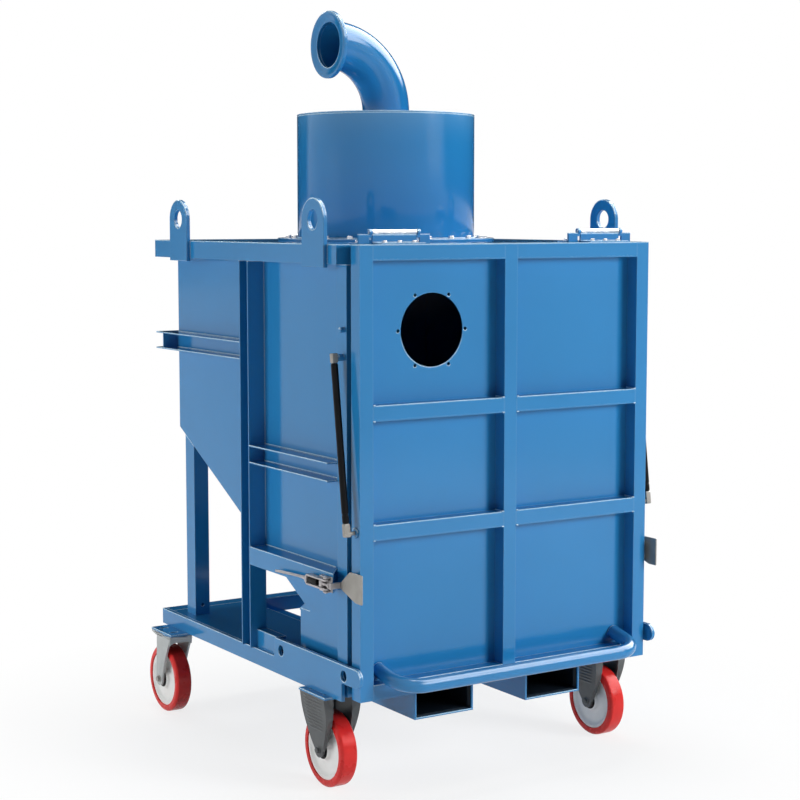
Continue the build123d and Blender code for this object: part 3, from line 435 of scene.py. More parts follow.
drumBand("drum_shell", "cyclone_drum", ("foot", "top"), ("outer", "inner"), 0.6, 3)
drumBand("drum_top", "drum_lid", ("top", "lid"), ("outer", "bore"), 1.2, 4)
drumBand("drum_ring", "drum_flange", ("ringLow", "foot"), ("ring", "inner"), 1.0, 4)
turns = rounds(drumSize["bolts"]) + drumSize["boltTurn"]
circle = np.stack([np.cos(turns), np.sin(turns), 0.0 * turns], -1) * drumSize["boltCircle"] / 1000.0
oneBolt = hexBolt(place(0.0, drumSize["y"], drumSize["foot"]), zAxis, drumSize["bolt"])
addPiece("drum_ring_bolts", [repeat(part, circle) for part in oneBolt], brightSteel, "hopper")

bow = np.linspace(0.0, np.pi / 2, 49)  # the bend: straight rise, then a quarter circle towards the left
bendZ = drumSize["lid"] + drumSize["rise"]
pipeX = np.concatenate([[0.0], -drumSize["bend"] + drumSize["bend"] * np.cos(bow)])
pipeZ = np.concatenate([[drumSize["lid"]], bendZ + drumSize["bend"] * np.sin(bow)])
pipePath = drumFoot + np.stack([pipeX, 0.0 * pipeX, pipeZ], -1) / 1000.0
sides = drumSize["sides"]
outerWall, innerWall = (
    tubeAlong(pipePath, drumSize[wall] / 1000.0, yAxis, sides, False)[0].reshape(-1, sides, 3)
    for wall in ("pipe", "bore")
)
pipeWall = np.concatenate([outerWall, innerWall[::-1]])
bendPart = (pipeWall.reshape(-1, 3), gridFaces(len(pipeWall), sides, True))
addPiece("outlet_pipe", [bendPart], bluePaint, "hopper", ["outlet_elbow"])
rimSize = {
    "section": [(0.0, 62.5), (0.0, 90.0), (3.0, 93.0), (11.5, 93.0), (14.0, 90.5), (14.0, 84.0), (9.5, 68.0),
                (9.5, 62.5)],
    "soft": [0.4, 1.2, 1.4, 1.4, 1.4, 2.5, 2.5, 0.8],
}
outletEnd = place(-drumSize["bend"], drumSize["y"], bendZ + drumSize["bend"])
outletRim = lathe(softLoop(rimSize["section"], rimSize["soft"], 5), outletEnd, (-1, 0, 0), 120, True)
addPiece("outlet_ring", [outletRim], bluePaint, "hopper", ["outlet_flange"])
print("drum and outlet")


# Lifting lugs.

lugSize = {"half": 55.0, "hole": 25.0, "thick": 12.0, "soft": 1.2, "eyeZ": 1474.0, "fronts": (160.0, 935.0),
           "sides": ((-503.0, 1355.0), (429.0, 1413.0))}


def lugPart(xStart, lowZ, yMid):
    # radius(t) from the eye = half above it, and the nearer of the side (half/|cos t|) and the foot below it
    depth, half = lugSize["eyeZ"] - lowZ, lugSize["half"]
    corner = math.atan2(depth, half)
    t = np.sort(np.concatenate([rounds(96), [np.pi + corner, 2 * np.pi - corner]]))
    edge = np.where(np.sin(t) >= -1e-9, half, boxEdge(half, depth, t))
    thick, soft = lugSize["thick"], lugSize["soft"]
    hole = lugSize["hole"] + 0 * t
    across = np.array([0.0, soft, thick - soft, thick, thick, thick - soft, soft, 0.0])[:, None]
    reach = np.stack([edge - soft, edge, edge, edge - soft, hole + soft, hole, hole, hole + soft])
    y, z = yMid + reach * np.cos(t), lugSize["eyeZ"] + reach * np.sin(t)
    return inFrame(np.stack([xStart + across + 0 * reach, y, z], -1)), gridFaces(8, len(t), True)


lugs = [lugPart(x, z, y) for x, z in lugSize["sides"] for y in lugSize["fronts"]]
addPiece("lifting_eyes", lugs, bluePaint, "hopper", ["lifting_lugs"])


# Handle on the door.

gripSize = {"radius": 18.99, "half": 385.0, "bend": 70.0, "front": -76.0, "z": 306.0, "lift": 17.5,
            "back": 40.0, "straight": 280.0, "gap": 4.0}
lean = unit(np.array([0.0, -gripSize["front"], gripSize["lift"]]))
gripLen = (gripSize["back"] - gripSize["front"]) / lean[1]
gripBow = np.linspace(0.0, np.pi / 2, 17)
arcIn = gripSize["bend"] * (1 - np.cos(gripBow))
arcOut = gripSize["bend"] * (1 - np.sin(gripBow))
legX = np.concatenate([np.full(8, -gripSize["half"]), -gripSize["half"] + arcIn])
legRun = np.concatenate([np.linspace(gripLen, gripSize["bend"] + gripSize["gap"], 8), arcOut])
alongX = np.concatenate([legX, np.linspace(-gripSize["straight"], gripSize["straight"], 24), -legX[::-1]])
alongRun = np.concatenate([legRun, np.zeros(24), legRun[::-1]])
gripStep = alongX[:, None] * np.array([1.0, 0.0, 0.0]) + alongRun[:, None] * lean
gripPath = place(0.0, gripSize["front"], gripSize["z"]) + gripStep / 1000.0
grip = tubeAlong(gripPath, gripSize["radius"] / 1000.0, np.cross(xAxis, lean), 40)
addPiece("push_handle", [grip], bluePaint, "door", ["door_handle"])
print("lugs and handle")


# Door hinges.

hingeSize = {"x": 329.0, "y": 50.0, "z": 1443.0, "barrel": 6.5, "bore": 4.05, "half": 65.5, "pin": 4.0,
             "pinHalf": 75.5, "pinTip": 2.8, "chamfer": 1.2}
hingeBolts = {"z": 1417.0, "footY": 78.0, "footX": 91.0, "leafY": 24.0, "leafX": (-44.0, 0.0, 44.0),
              "size": 6.0}
h = hingeSize["half"]
barrel = sleeveSection(-h, h, hingeSize["bore"], hingeSize["barrel"], [0.3, 0.9, 0.9, 0.3])
h, r, tip, cut = hingeSize["pinHalf"], hingeSize["pin"], hingeSize["pinTip"], hingeSize["chamfer"]
pin = [(-h, 0.0), (-h, tip), (-h + cut, r), (h - cut, r), (h, tip), (h, 0.0)]
barrels, pins, footBolts, leafBolts = [], [], [], []
for side in (-1, 1):
    x = side * hingeSize["x"]
    hingeMid = place(x, hingeSize["y"], hingeSize["z"])
    barrels.append(lathe(barrel, hingeMid, xAxis, 40, True))
    pins.append(lathe(pin, hingeMid, xAxis, 32))
    for step in (-hingeBolts["footX"], hingeBolts["footX"]):
        footBolts += hexBolt(place(x + step, hingeBolts["footY"], hingeBolts["z"]), zAxis, hingeBolts["size"])
    for step in hingeBolts["leafX"]:
        leafBolts += hexBolt(place(x + step, hingeBolts["leafY"], hingeBolts["z"]), zAxis, hingeBolts["size"])
addPiece("hinge_sleeves", barrels, brightSteel, "door", ["hinge_barrels"])
addPiece("hinge_rods", pins, brightSteel, "hopper", ["hinge_pins"])
addPiece("hinge_foot_bolts", footBolts, brightSteel, "hopper")
addPiece("hinge_leaf_bolts", leafBolts, brightSteel, "door")


# Gas springs.

springSize = {"x": 488.0, "top": (80.0, 1131.0), "low": (21.0, 694.0), "tube": 9.0, "rod": 4.0,
              "eyeHalf": 7.0, "tubeEnd": 415.0, "rodStart": 85.0, "eye": 10.2, "eyeSoft": 8.6, "stud": 5.0,
              "studReach": 22.5}
topY, topZ = springSize["top"]
lowY, lowZ = springSize["low"]
springRun = np.array([0.0, lowY - topY, lowZ - topZ])
springLen = float(np.linalg.norm(springRun))
r, end = springSize["tube"], springSize["tubeEnd"]
springTube = [
    (14.0, 0.0), (14.0, 7.0), (16.0, r), (end - 26, r), (end - 25, r - 0.9), (end - 21, r - 0.9),
    (end - 20, r), (end - 5, r), (end - 1.5, r - 1.4), (end, r - 3.2), (end, 4.2), (end - 12, 4.2),
    (end - 12, 0.0),
]
wide, soft = springSize["eye"], springSize["eyeSoft"]
topEye = [(-11.0, 0.0), (-11.0, soft), (-9.5, wide), (11.0, wide), (13.5, 8.0), (13.5, 0.0)]
r, start, end = springSize["rod"], springSize["rodStart"], springLen
springRod = rodSection(start, end - 24, r)
lowEye = [
    (end - 26, 0.0), (end - 26, 8.0), (end - 24, wide), (end + 6, wide), (end + 8, soft), (end + 8, 0.0),
]
r, w, reach = springSize["stud"], springSize["eyeHalf"], springSize["studReach"]
eyeStud = [(-reach, 0.0), (-reach, r), (w, r), (w + 1, r - 1), (w + 1, 0.0)]
for side, hand in hands:
    top = place(side * springSize["x"], topY, topZ)
    low = place(side * springSize["x"], lowY, lowZ)
    tubeBody, rodBody = f"spring_tube_{hand}", f"spring_rod_{hand}"
    roundTube = lathe(springTube, top, springRun, 40)
    addPiece(f"spring_barrel_{hand}", [roundTube], springBlack, tubeBody, [tubeBody])
    squareEye = lathe(topEye, top, springRun, 4, False, np.pi / 4)
    addPiece(f"spring_top_eye_{hand}", [squareEye], zincPlate, tubeBody)
    shaft = [lathe(springRod, top, springRun, 28), lathe(lowEye, top, springRun, 4, False, np.pi / 4)]
    shaft.append(lathe(eyeStud, low, (side, 0, 0), 24))
    addPiece(f"spring_shaft_{hand}", shaft, zincPlate, rodBody, [rodBody])

studSize = {"half": 462.0, "pad": 14.0, "padThick": 3.0, "stop": (75.0, 1200.0), "stopR": 7.0,
            "stopLen": 14.0, "section": [(0, 0), (0, 9), (15, 9), (17, 7), (17, 5), (25, 5), (25, 0)]}


def button(radius, length, cut):  # short round end with a chamfer
    return [(0, 0), (0, radius), (length - cut, radius), (length, radius - cut), (length, 0)]


studs, stops, pads = [], [], []
for side in (-1, 1):
    half, way = side * studSize["half"], (side, 0, 0)
    studs.append(lathe(studSize["section"], place(half, topY, topZ), way, 32))
    stop = button(studSize["stopR"], studSize["stopLen"], 2)
    stops.append(lathe(stop, place(half, *studSize["stop"]), way, 32))
    pads.append(lathe(button(studSize["pad"], studSize["padThick"], 1), place(half, lowY, lowZ), way, 40))
addPiece("spring_top_studs", studs, bluePaint, "hopper", ["spring_studs"])
addPiece("door_stop_studs", stops, bluePaint, "hopper")
addPiece("spring_door_pads", pads, bluePaint, "door", ["spring_pads"])
print("hinges and gas springs")


# Door latches and keepers.

latchSize = {
    "x": 503.0, "z": 554.0, "pivot": 98.0, "pin": 120.0, "pinR": 3.0, "half": 8.0, "gap": 9.0, "bar": 5.0,
    "taper": 186.0, "end": 198.0, "tail": 364.0, "droop": 8.0, "tailR": 3.6, "tailRoot": 4.5,
    "core": (140.0, 182.0), "coreHalf": (6.0, 7.0), "rod": 4.0, "pitch": 2.5, "thread": 0.35,
    "hook": (68.7, 76.7), "hookX": (473.0, 507.0), "eyeR": 7.0, "ledge": 491.0, "baseY": (84.0, 138.0),
    "baseHalf": 20.0, "baseThick": 3.0, "cheek": 4.0, "cheekTail": 132.0,
}
keeperSize = {
    "x": (474.0, 478.0), "outline": [(-34, 521), (-3, 521), (68, 546), (68, 562), (25, 596), (-34, 596)],
    "soft": 1.2, "corner": 3.0, "doorSide": 462.0, "studY": 20.0, "studs": (539.0, 578.0), "studR": 9.0,
}
z, half, gap, bar = latchSize["z"], latchSize["half"], latchSize["gap"], latchSize["bar"]
pivotY, pinY, pinR = latchSize["pivot"], latchSize["pin"], latchSize["pinR"]
taper, leverEnd = latchSize["taper"], latchSize["end"]
hookFront, hookBack = latchSize["hook"]
pinBore = pinR + 0.05  # running fit on the pins


def leverParts(side):  # two bars with knuckles and pivots, their nose, the drooping tail, the rod's pin
    x, parts = side * latchSize["x"], []
    knuckle = sleeveSection(0, bar, 0.1, half, 0.8)
    pivot = [(0, 0), (0, pinR), (10.5, pinR), (10.5, 5.2), (12.5, 4.6), (13.2, pinR), (13.2, 0)]
    for up in (-1, 1):
        low, high = z + up * gap, z + up * (gap + bar)
        parts.append(softBox((x - half, pivotY, low), (x + half, taper + 2, high), 1.2))
        parts.append(lathe(knuckle, place(x, pivotY, low), (0, 0, up), 40))
        parts.append(lathe(pivot, place(x, pivotY, low), (0, 0, up), 28))
    tall, slim = gap + bar, gap - 3
    nose = [(taper, z - tall), (leverEnd, z - slim), (leverEnd, z + slim), (taper, z + tall)]
    noseLow, noseHigh = latchSize["x"] - half, latchSize["x"] + half
    parts.append(sideSlab(softLoop(nose, [1, 4, 4, 1], 5), noseLow, noseHigh, 1.2, side))
    run = np.linspace(0.0, 1.0, 40)
    tailY = leverEnd - 4 + (latchSize["tail"] - leverEnd) * run
    tailPath = place(x, 0, z) + np.stack([0 * run, tailY, -latchSize["droop"] * run**1.6], -1) / 1000.0
    tailR = latchSize["tailR"] + latchSize["tailRoot"] * np.exp(-run * 14.0)
    parts.append(tubeAlong(tailPath, tailR / 1000.0, xAxis, 20))
    parts.append(lathe(rodSection(-gap, gap, pinR), place(x, pinY, z), zAxis, 24))
    return parts


def pullParts(side):  # the rod with its eye, nut and hook
    # thread: radius(s) = rod - depth + depth cos(2 pi s / pitch), s along the rod
    x, pitch, deep, eyeR = side * latchSize["x"], latchSize["pitch"], latchSize["thread"], latchSize["eyeR"]
    run = np.arange(0.0, pinY - hookBack - 6.0, pitch / 4)
    thread = np.stack([run, latchSize["rod"] - deep + deep * np.cos(run * 2 * np.pi / pitch)], -1)
    thread = np.concatenate([[(0.0, 0.0)], thread, [(run[-1], 0.0)]])
    eye = sleeveSection(-half, half, pinBore, eyeR, [0.3, 1.2, 1.2, 0.3])
    nut = [(0.0, 4.0), (0.0, 7.0), (1.0, 8.0), (5.5, 8.0), (6.5, 7.0), (6.5, 4.0)]
    hookIn, hookOut = (side * edge for edge in latchSize["hookX"])
    return [
        lathe(thread, place(x, hookBack, z), yAxis, 24), lathe(eye, place(x, pinY, z), zAxis, 36, True),
        lathe(nut, place(x, hookBack + 1, z), yAxis, 6),
        softBox((hookIn, hookFront, z - half), (hookOut, hookBack, z + half), 1.6),
    ]


def mountParts(side):  # plate on the ledge with two cheeks that hold the lever's pivot
    x, ledge = side * latchSize["x"], side * latchSize["ledge"]
    tall, cheek = latchSize["baseHalf"], latchSize["cheek"]
    baseFront, baseBack = latchSize["baseY"]
    outer = ledge + side * latchSize["baseThick"]
    parts = [softBox((ledge, baseFront, z - tall), (outer, baseBack, z + tall), 0.9)]
    cheekEnd = sleeveSection(0, cheek, pinBore, half, 0.6)
    for up in (-1, 1):
        low, high = z + up * (tall - cheek), z + up * tall
        parts.append(softBox((ledge, pivotY - half, low), (x, latchSize["cheekTail"], high), 1.2))
        parts.append(lathe(cheekEnd, place(x, pivotY, min(low, high)), zAxis, 40, True))
    return parts


latchBases, keepers, keeperStuds = [], [], []
studRun, r = keeperSize["x"][0] - keeperSize["doorSide"], keeperSize["studR"]
keeperStud = [
    (0, 0), (0, r), (studRun * 0.4, r), (studRun * 0.5, r - 1), (studRun * 0.6, r),
    (studRun, r), (studRun, 0),
]
for side, hand in hands:
    x = side * latchSize["x"]
    leverBody, rodBody = f"latch_lever_{hand}", f"latch_rod_{hand}"
    addPiece(f"latch_handle_{hand}", leverParts(side), latchZinc, leverBody, [leverBody])
    coreStart, coreEnd = latchSize["core"]
    wide, tall = latchSize["coreHalf"]
    core = softBox((x - wide, coreStart, z - tall), (x + wide, coreEnd, z + tall), 2.0)  # between the bars
    addPiece(f"latch_core_{hand}", [core], springBlack, leverBody)
    addPiece(f"latch_pull_{hand}", pullParts(side), latchZinc, rodBody, [rodBody])
    latchBases += mountParts(side)
    keeper = softLoop(keeperSize["outline"], keeperSize["corner"], 5)
    keepers.append(sideSlab(keeper, *keeperSize["x"], keeperSize["soft"], side))
    for studZ in keeperSize["studs"]:
        spot = place(side * keeperSize["doorSide"], keeperSize["studY"], studZ)
        keeperStuds.append(lathe(keeperStud, spot, (side, 0, 0), 36))
addPiece("latch_mounts", latchBases, latchZinc, "hopper", ["latch_bases"])
addPiece("keeper_faces", keepers, zincPlate, "door", ["keeper_plates"])
addPiece("keeper_spacers", keeperStuds, zincPlate, "door", ["keeper_studs"])
print("latches")


# Weld beads, and the closed corner of the hopper's skirt.

weldSize = {"radius": 2.4, "wave": 0.22, "pitch": 6.0, "perPitch": 4, "sides": 6, "ringSides": 8}
bodySeams = {
    "wall": 441.0,  # seams on the side walls, each from (y, z) to (y, z)
    "onWall": [
        ((150, 583), (530, 583)), ((150, 533), (530, 533)), ((112, 813), (530, 813)),
        ((112, 863), (530, 863)), ((585, 1092), (1065, 1092)), ((585, 1142), (1065, 1142)),
        ((532, 600), (532, 1360)), ((583, 600), (583, 1360)), ((112, 1363), (1065, 1363)),
    ],
    "lugX": -491.0, "lugZ": (1364.0, 1412.0), "rings": (("foot", "outer"), ("lid", "pipe")),
}
doorSeams = {"onFace": ((20, 26), (416, 422)), "faceY": 0.5, "inRecess": (20, 422), "recessY": (3, 38),
             "heights": (672.0, 712.0, 973.0, 1013.0)}
skirtSize = {"x": (437.2, 440.8), "soft": 0.3, "outline": [
    (282.0, 436.0), (345.0, 436.0), (345.0, 443.2), (339.8, 443.2), (318.0, 457.8), (290.0, 443.2),
    (282.0, 443.2),
]}


def beadAlong(start, end):  # radius(s) = radius (1 + wave cos(2 pi s / pitch)), s along the seam
    start, end = np.asarray(start, float), np.asarray(end, float)
    length, pitch = np.linalg.norm(end - start), weldSize["pitch"]
    steps = np.linspace(0.0, 1.0, max(int(length / pitch * weldSize["perPitch"]), 6))
    ripple = 1.0 + weldSize["wave"] * np.cos(2 * np.pi * steps * length / pitch)
    path = inFrame(start + steps[:, None] * (end - start))
    across = sideways(end - start)[1]
    return tubeAlong(path, weldSize["radius"] * ripple / 1000.0, across, weldSize["sides"])


def beadRound(centre, axis, radius):  # a rippled ring: ring radius fixed, bead radius as for a straight seam
    axis, first, second = sideways(axis)
    waves = int(2 * np.pi * radius / weldSize["pitch"])
    count, sides = waves * weldSize["perPitch"], weldSize["ringSides"]
    turn = rounds(count)[:, None, None]
    ripple = weldSize["radius"] * (1.0 + weldSize["wave"] * np.cos(turn * waves))
    around = rounds(sides)[None, :, None]
    outward = np.cos(turn) * first + np.sin(turn) * second
    points = centre + (outward * (radius + ripple * np.cos(around)) + axis * ripple * np.sin(around)) / 1000.0
    return points.reshape(-1, 3), gridFaces(count, sides, True)


welds = []
for level, wall in bodySeams["rings"]:
    welds.append(beadRound(place(0, drumSize["y"], drumSize[level]), zAxis, drumSize[wall]))
welds.append(beadRound(outletEnd, (-1, 0, 0), drumSize["pipe"]))
for side in (-1, 1):
    wall = side * bodySeams["wall"]
    welds += [beadAlong((wall, *start), (wall, *end)) for start, end in bodySeams["onWall"]]
for lugY in lugSize["fronts"]:
    for y in (lugY - lugSize["half"], lugY + lugSize["half"]):
        foot, top = ((bodySeams["lugX"], y, height) for height in bodySeams["lugZ"])
        welds.append(beadAlong(foot, top))
corners = [sideSlab(skirtSize["outline"], *skirtSize["x"], skirtSize["soft"], side) for side in (-1, 1)]
addPiece("skirt_corners", corners, blueFill, "hopper")
addPiece("body_welds", welds, bluePaint, "hopper")
doorWelds, faceY = [], doorSeams["faceY"]
for side in (-1, 1):
    for inner, outer in doorSeams["onFace"]:
        for height in doorSeams["heights"]:
            doorWelds.append(beadAlong((side * inner, faceY, height), (side * outer, faceY, height)))
recessFront, recessBack = doorSeams["recessY"]
for side in (-1, 1):
    for x in doorSeams["inRecess"]:
        for height in doorSeams["heights"]:
            doorWelds.append(beadAlong((side * x, recessFront, height), (side * x, recessBack, height)))
addPiece("door_welds", doorWelds, bluePaint, "door")
print("welds")


# Plugs in the door's tube ends.

plugSize = {"x": (-442.0, 0.0, 442.0), "half": 16.6, "y": 20.0, "ends": ((1413.0, -1), (263.5, 1)),
            "deep": 9.0, "lip": 0.4, "soft": 2.5}
plugs, half, y = [], plugSize["half"], plugSize["y"]
for x in plugSize["x"]:
    for end, inward in plugSize["ends"]:
        face, foot = end + inward * plugSize["lip"], end + inward * plugSize["deep"]
        plugs.append(softBox((x - half, y - half, face), (x + half, y + half, foot), plugSize["soft"]))
addPiece("tube_plugs", plugs, springBlack, "door")


# Sheets of painted shade inside the fork pockets.

pocketSize = {"x": 178.0, "half": 86.6, "low": 185.4, "high": 249.6, "front": 47.0, "rear": 1118.0,
              "ripple": 0.25, "wave": 37.0, "sheet": 0.3}


def pocketShadeSheet(x):
    # point(i, k) = loop(k) round the inside at each depth, with a slight waviness sin(y) in the sheet
    half, low, high = pocketSize["half"], pocketSize["low"], pocketSize["high"]
    across, up = np.linspace(-half, half, 9), np.linspace(low, high, 7)
    loop = np.concatenate([
        np.stack([across, 0 * across + low], -1)[:-1], np.stack([0 * up + half, up], -1)[:-1],
        np.stack([-across, 0 * across + high], -1)[:-1], np.stack([0 * up - half, up[::-1]], -1)[:-1],
    ])
    y = np.linspace(pocketSize["front"], pocketSize["rear"], 60)
    middle = loop.mean(0)
    draw = 1.0 - pocketSize["ripple"] / half * (1.0 + np.sin(y / pocketSize["wave"])) / 2
    section = middle + (loop - middle)[None] * draw[:, None, None]
    points = np.stack([x + section[..., 0], y[:, None] + 0 * section[..., 0], section[..., 1]], -1)
    return inFrame(points), gridFaces(len(y), len(loop))


pockets = [pocketShadeSheet(side * pocketSize["x"]) for side in (-1, 1)]
# thin dark sheets just inside the pocket walls stand for the shade in the pockets
addPiece("pocket_shade_sheets", pockets, pocketShade, "hopper", solid=pocketSize["sheet"])
print("plugs and fork pockets")


# Wheels.

wheelSize = {
    "z": 100.0,
    "spots": {"front_left": (-443.0, 180.0), "front_right": (443.0, 180.0),
              "rear_left": (-485.0, 1063.0), "rear_right": (485.0, 1063.0)},
    "tread": [(-25.0, 81.0), (-25.0, 93.0), (-19.5, 100.0), (19.5, 100.0), (25.0, 93.0), (25.0, 81.0)],
    "treadSoft": [0.8, 3.0, 3.0, 3.0, 3.0, 0.8],
    "halfHub": [(20.5, 81.0), (21.5, 79.5), (21.5, 74.5), (19.5, 72.0), (13.5, 66.0), (12.0, 60.0),
                (12.5, 38.0), (16.0, 30.5), (24.0, 28.0), (26.0, 26.0), (26.0, 25.0)],
    "hubSoft": [0.4, 0.8, 1.2, 1.4, 2.5, 3.0, 3.0, 2.0, 1.0, 0.5, 0.3],
    "seal": [(-28.0, 8.05), (-28.0, 24.0), (-26.2, 25.5), (26.2, 25.5), (28.0, 24.0), (28.0, 8.05)],
}
tread = softLoop(wheelSize["tread"], wheelSize["treadSoft"], 6)
hubSection = wheelSize["halfHub"] + [(-along, radius) for along, radius in wheelSize["halfHub"][::-1]]
hub = softLoop(hubSection, wheelSize["hubSoft"] + wheelSize["hubSoft"][::-1], 4)
hubSeal = softLoop(wheelSize["seal"], 0.5, 3)
for corner, (x, y) in wheelSize["spots"].items():
    middle, body = place(x, y, wheelSize["z"]), f"wheel_{corner}"
    tyreRing = lathe(tread, middle, xAxis, 128, True)
    addPiece(f"tyre_{corner}", [tyreRing], tyreRed, body, [f"wheel_tyre_{corner}"])
    addPiece(f"hub_{corner}", [lathe(hub, middle, xAxis, 96, True)], hubNylon, body, [f"wheel_hub_{corner}"])
    addPiece(f"hub_seal_{corner}", [lathe(hubSeal, middle, xAxis, 48, True)], springBlack, body)
print("wheels")


# Castor forks and plates.

castorSize = {"top": 255.0, "plate": 6.0, "axleZ": 100.0, "foot": 20.0, "wall": 4.0, "rows": 150,
              "slot": (7.5, 5.5), "length": 68.0, "bolt": 7.5, "nut": 9.0, "nutX": 37.2, "axle": 8.0,
              "axleHalf": 38.0}
fixedFork = {
    "x": 443.0, "y": 180.0, "axleY": 180.0, "half": 57.0, "top": 249.0, "outer": (57.0, 37.0),
    "depth": (29.0, 8.0), "wide": (62.0, 20.0), "straight": 0.2, "curve": 1.7,
    "ribs": np.arange(0.05, 0.66, 0.061), "ribHigh": 2.0, "ribThick": 2.1, "ribReach": 0.72,
    "flute": 1.6, "fluteTurn": 1.1,
}
swivelFork = {
    "x": 485.0, "y": 1020.0, "axleY": 1063.0, "half": 48.0, "top": 233.5, "outer": 37.0, "depth": 6.0,
    "front": (986.0, 1043.0), "back": (1076.0, 1083.0), "curve": 1.35, "bead": 1.6, "beadWide": 0.45,
    "crownZ": 240.5, "raceZ": 249.0,
    "race": [(-8.0, 18.0), (-8.0, 40.0), (-5.0, 42.0), (-3.0, 39.5), (0.0, 39.5), (0.0, 18.0)],
    "crown": [(-7.0, 0.1), (-7.0, 40.0), (-4.5, 42.0), (-1.5, 42.0), (0.0, 40.5), (0.0, 0.1)],
}
pedalSize = {"y": 1068.0, "z": 225.5, "start": 5.5, "end": 1132.0, "half": 27.0, "thick": 5.0, "lift": 9.0,
             "barrel": (-23.0, 23.0, 4.05, 6.5), "pivot": (-33.0, 33.0, 4.0)}


def between(pair, share):
    return pair[0] + (pair[1] - pair[0]) * share


def legSkin(half, depth, wall):
    # section(u) of a pressed leg at each height: outer face, turned-in sides, inside; inward and along in mm
    sideRuns = [np.ones(7), np.full(2, 0.9), -np.full(2, 0.9), -np.ones(7)]
    along = np.concatenate([np.linspace(-1, 1, 25), *sideRuns])
    inner = np.maximum(half - wall, 0.3 * half)[:, None]
    deep = np.maximum(depth, wall + 0.5)[:, None]
    side = np.linspace(0.0, 1.0, 9)[2:]
    y = along[None] * half[:, None]
    y[:, 32:34], y[:, 34:36] = inner, -inner
    inward = np.concatenate([np.zeros(25), side, [1.0, 0.0], [0.0, 1.0], side[::-1]])[None] * deep
    inward[:, 33:35] = wall
    return along[None], y, inward


def forkLeg(look, x, out, pressed):
    # point(z, u) = (x + out (outer(z) - inward(u)), mid(z) + along(u), z), the end rounded about the axle
    foot, axle, top = castorSize["foot"], castorSize["axleZ"], look["top"]
    tip = axle - foot * np.sin(np.linspace(0.05, 1.5, 16))
    z = np.concatenate([np.linspace(top, axle, castorSize["rows"]), tip])
    share = np.clip((top - z) / (top - axle), 0.0, 1.0)
    end = np.sqrt(np.maximum(foot**2 - np.minimum(z - axle, 0.0) ** 2, 1.0))
    if pressed:
        outer, depth = between(look["outer"], share), between(look["depth"], share)
        narrow = np.clip((share - look["straight"]) / (1.0 - look["straight"]), 0.0, 1.0) ** look["curve"]
        half = np.where(z < axle, end, between(look["wide"], narrow))
        mid = look["y"] + 0.0 * z
    else:
        outer, depth = look["outer"] + 0.0 * z, look["depth"] + 0.0 * z
        front = between(look["front"][::-1], (1.0 - share) ** look["curve"])
        back = between(look["back"], share)
        half = np.where(z < axle, end, (back - front) / 2)
        mid = np.where(z < axle, look["axleY"], (front + back) / 2)
    along, y, inward = legSkin(half, depth, castorSize["wall"])
    flat = np.zeros(y.shape[1])
    flat[:25] = 1.0
    if pressed:  # ribs across the outer face, flutes down the sides
        drop = (top - z)[:, None, None] - look["ribs"][None, None] * (top - axle)
        bar = np.exp(-((drop / look["ribThick"]) ** 2)).sum(-1) * look["ribHigh"]
        proud = bar * flat * np.clip((look["ribReach"] - np.abs(along)) / 0.1, 0.0, 1.0)
        wave = np.sin(inward * look["fluteTurn"]) ** 2 * np.sign(along) * (np.abs(along) > 0.95)
        y = y + look["flute"] * (1 - flat) * wave * (z > axle)[:, None]
    else:  # one bead down the outer face
        swell = np.clip((z - axle) / foot, 0.0, 1.0)[:, None]
        proud = look["bead"] * flat * np.exp(-((along / look["beadWide"]) ** 2)) * swell
    outward = outer[:, None] - inward + proud
    points = np.stack([x + out * outward, mid[:, None] + y, z[:, None] + 0.0 * y], -1)
    return inFrame(points), gridFaces(len(z), y.shape[1])


def barAlong(path, halfX, halfT, soft=1.2):
    # point(i, k) = path(i) + a(k) x + b(k) normal(i), (a, b) round a softened rectangle
    # path in (y, z), mm, about x = 0
    path = np.asarray(path, float)
    tangent = unit(np.gradient(path, axis=0))
    normal = np.stack([-tangent[:, 1], tangent[:, 0]], -1)
    loop = softLoop([(-halfX, -halfT), (halfX, -halfT), (halfX, halfT), (-halfX, halfT)], soft, 4)
    size = np.concatenate([[0.0], np.ones(len(path)), [0.0]])[:, None]
    rows = np.concatenate([path[:1], path, path[-1:]])
    lean = np.concatenate([normal[:1], normal, normal[-1:]])
    x = size * loop[None, :, 0]
    y, z = (rows[:, k, None] + size * loop[None, :, 1] * lean[:, k, None] for k in (0, 1))
    return np.stack([x, y, z], -1).reshape(-1, 3) / 1000.0, gridFaces(len(rows), len(loop))


def castorPlate(look, x):  # four quarters, each round its bolt slot
    quarter = (look["half"] / 2, castorSize["length"] / 2)
    spots = [(x + a * quarter[0], look["y"] + b * quarter[1]) for a in (-1, 1) for b in (-1, 1)]
    slot, thick = castorSize["slot"], castorSize["plate"]
    low = castorSize["top"] - thick
    plates = [holedPlate(place(*spot, low), quarter, slot, thick) for spot in spots]
    bolts = [part for spot in spots for part in hexBolt(place(*spot, low), (0, 0, -1), castorSize["bolt"])]
    return plates, bolts


def axleParts(look, x):  # axle through the fork with a nut at each end
    y, z, half = look["axleY"], castorSize["axleZ"], castorSize["axleHalf"]
    parts = []
    for out in (-1, 1):
        parts += hexBolt(place(x + out * castorSize["nutX"], y, z), (out, 0, 0), castorSize["nut"])
    parts.append(lathe(rodSection(-half, half, castorSize["axle"]), place(x, y, z), xAxis, 28))
    return parts


hoodSize = {"half": 36.9, "rise": 4.0, "drop": 12.0, "arch": 10.0, "edges": (0.0, 1.5, 6.0, 4.0),
            "steps": 41}


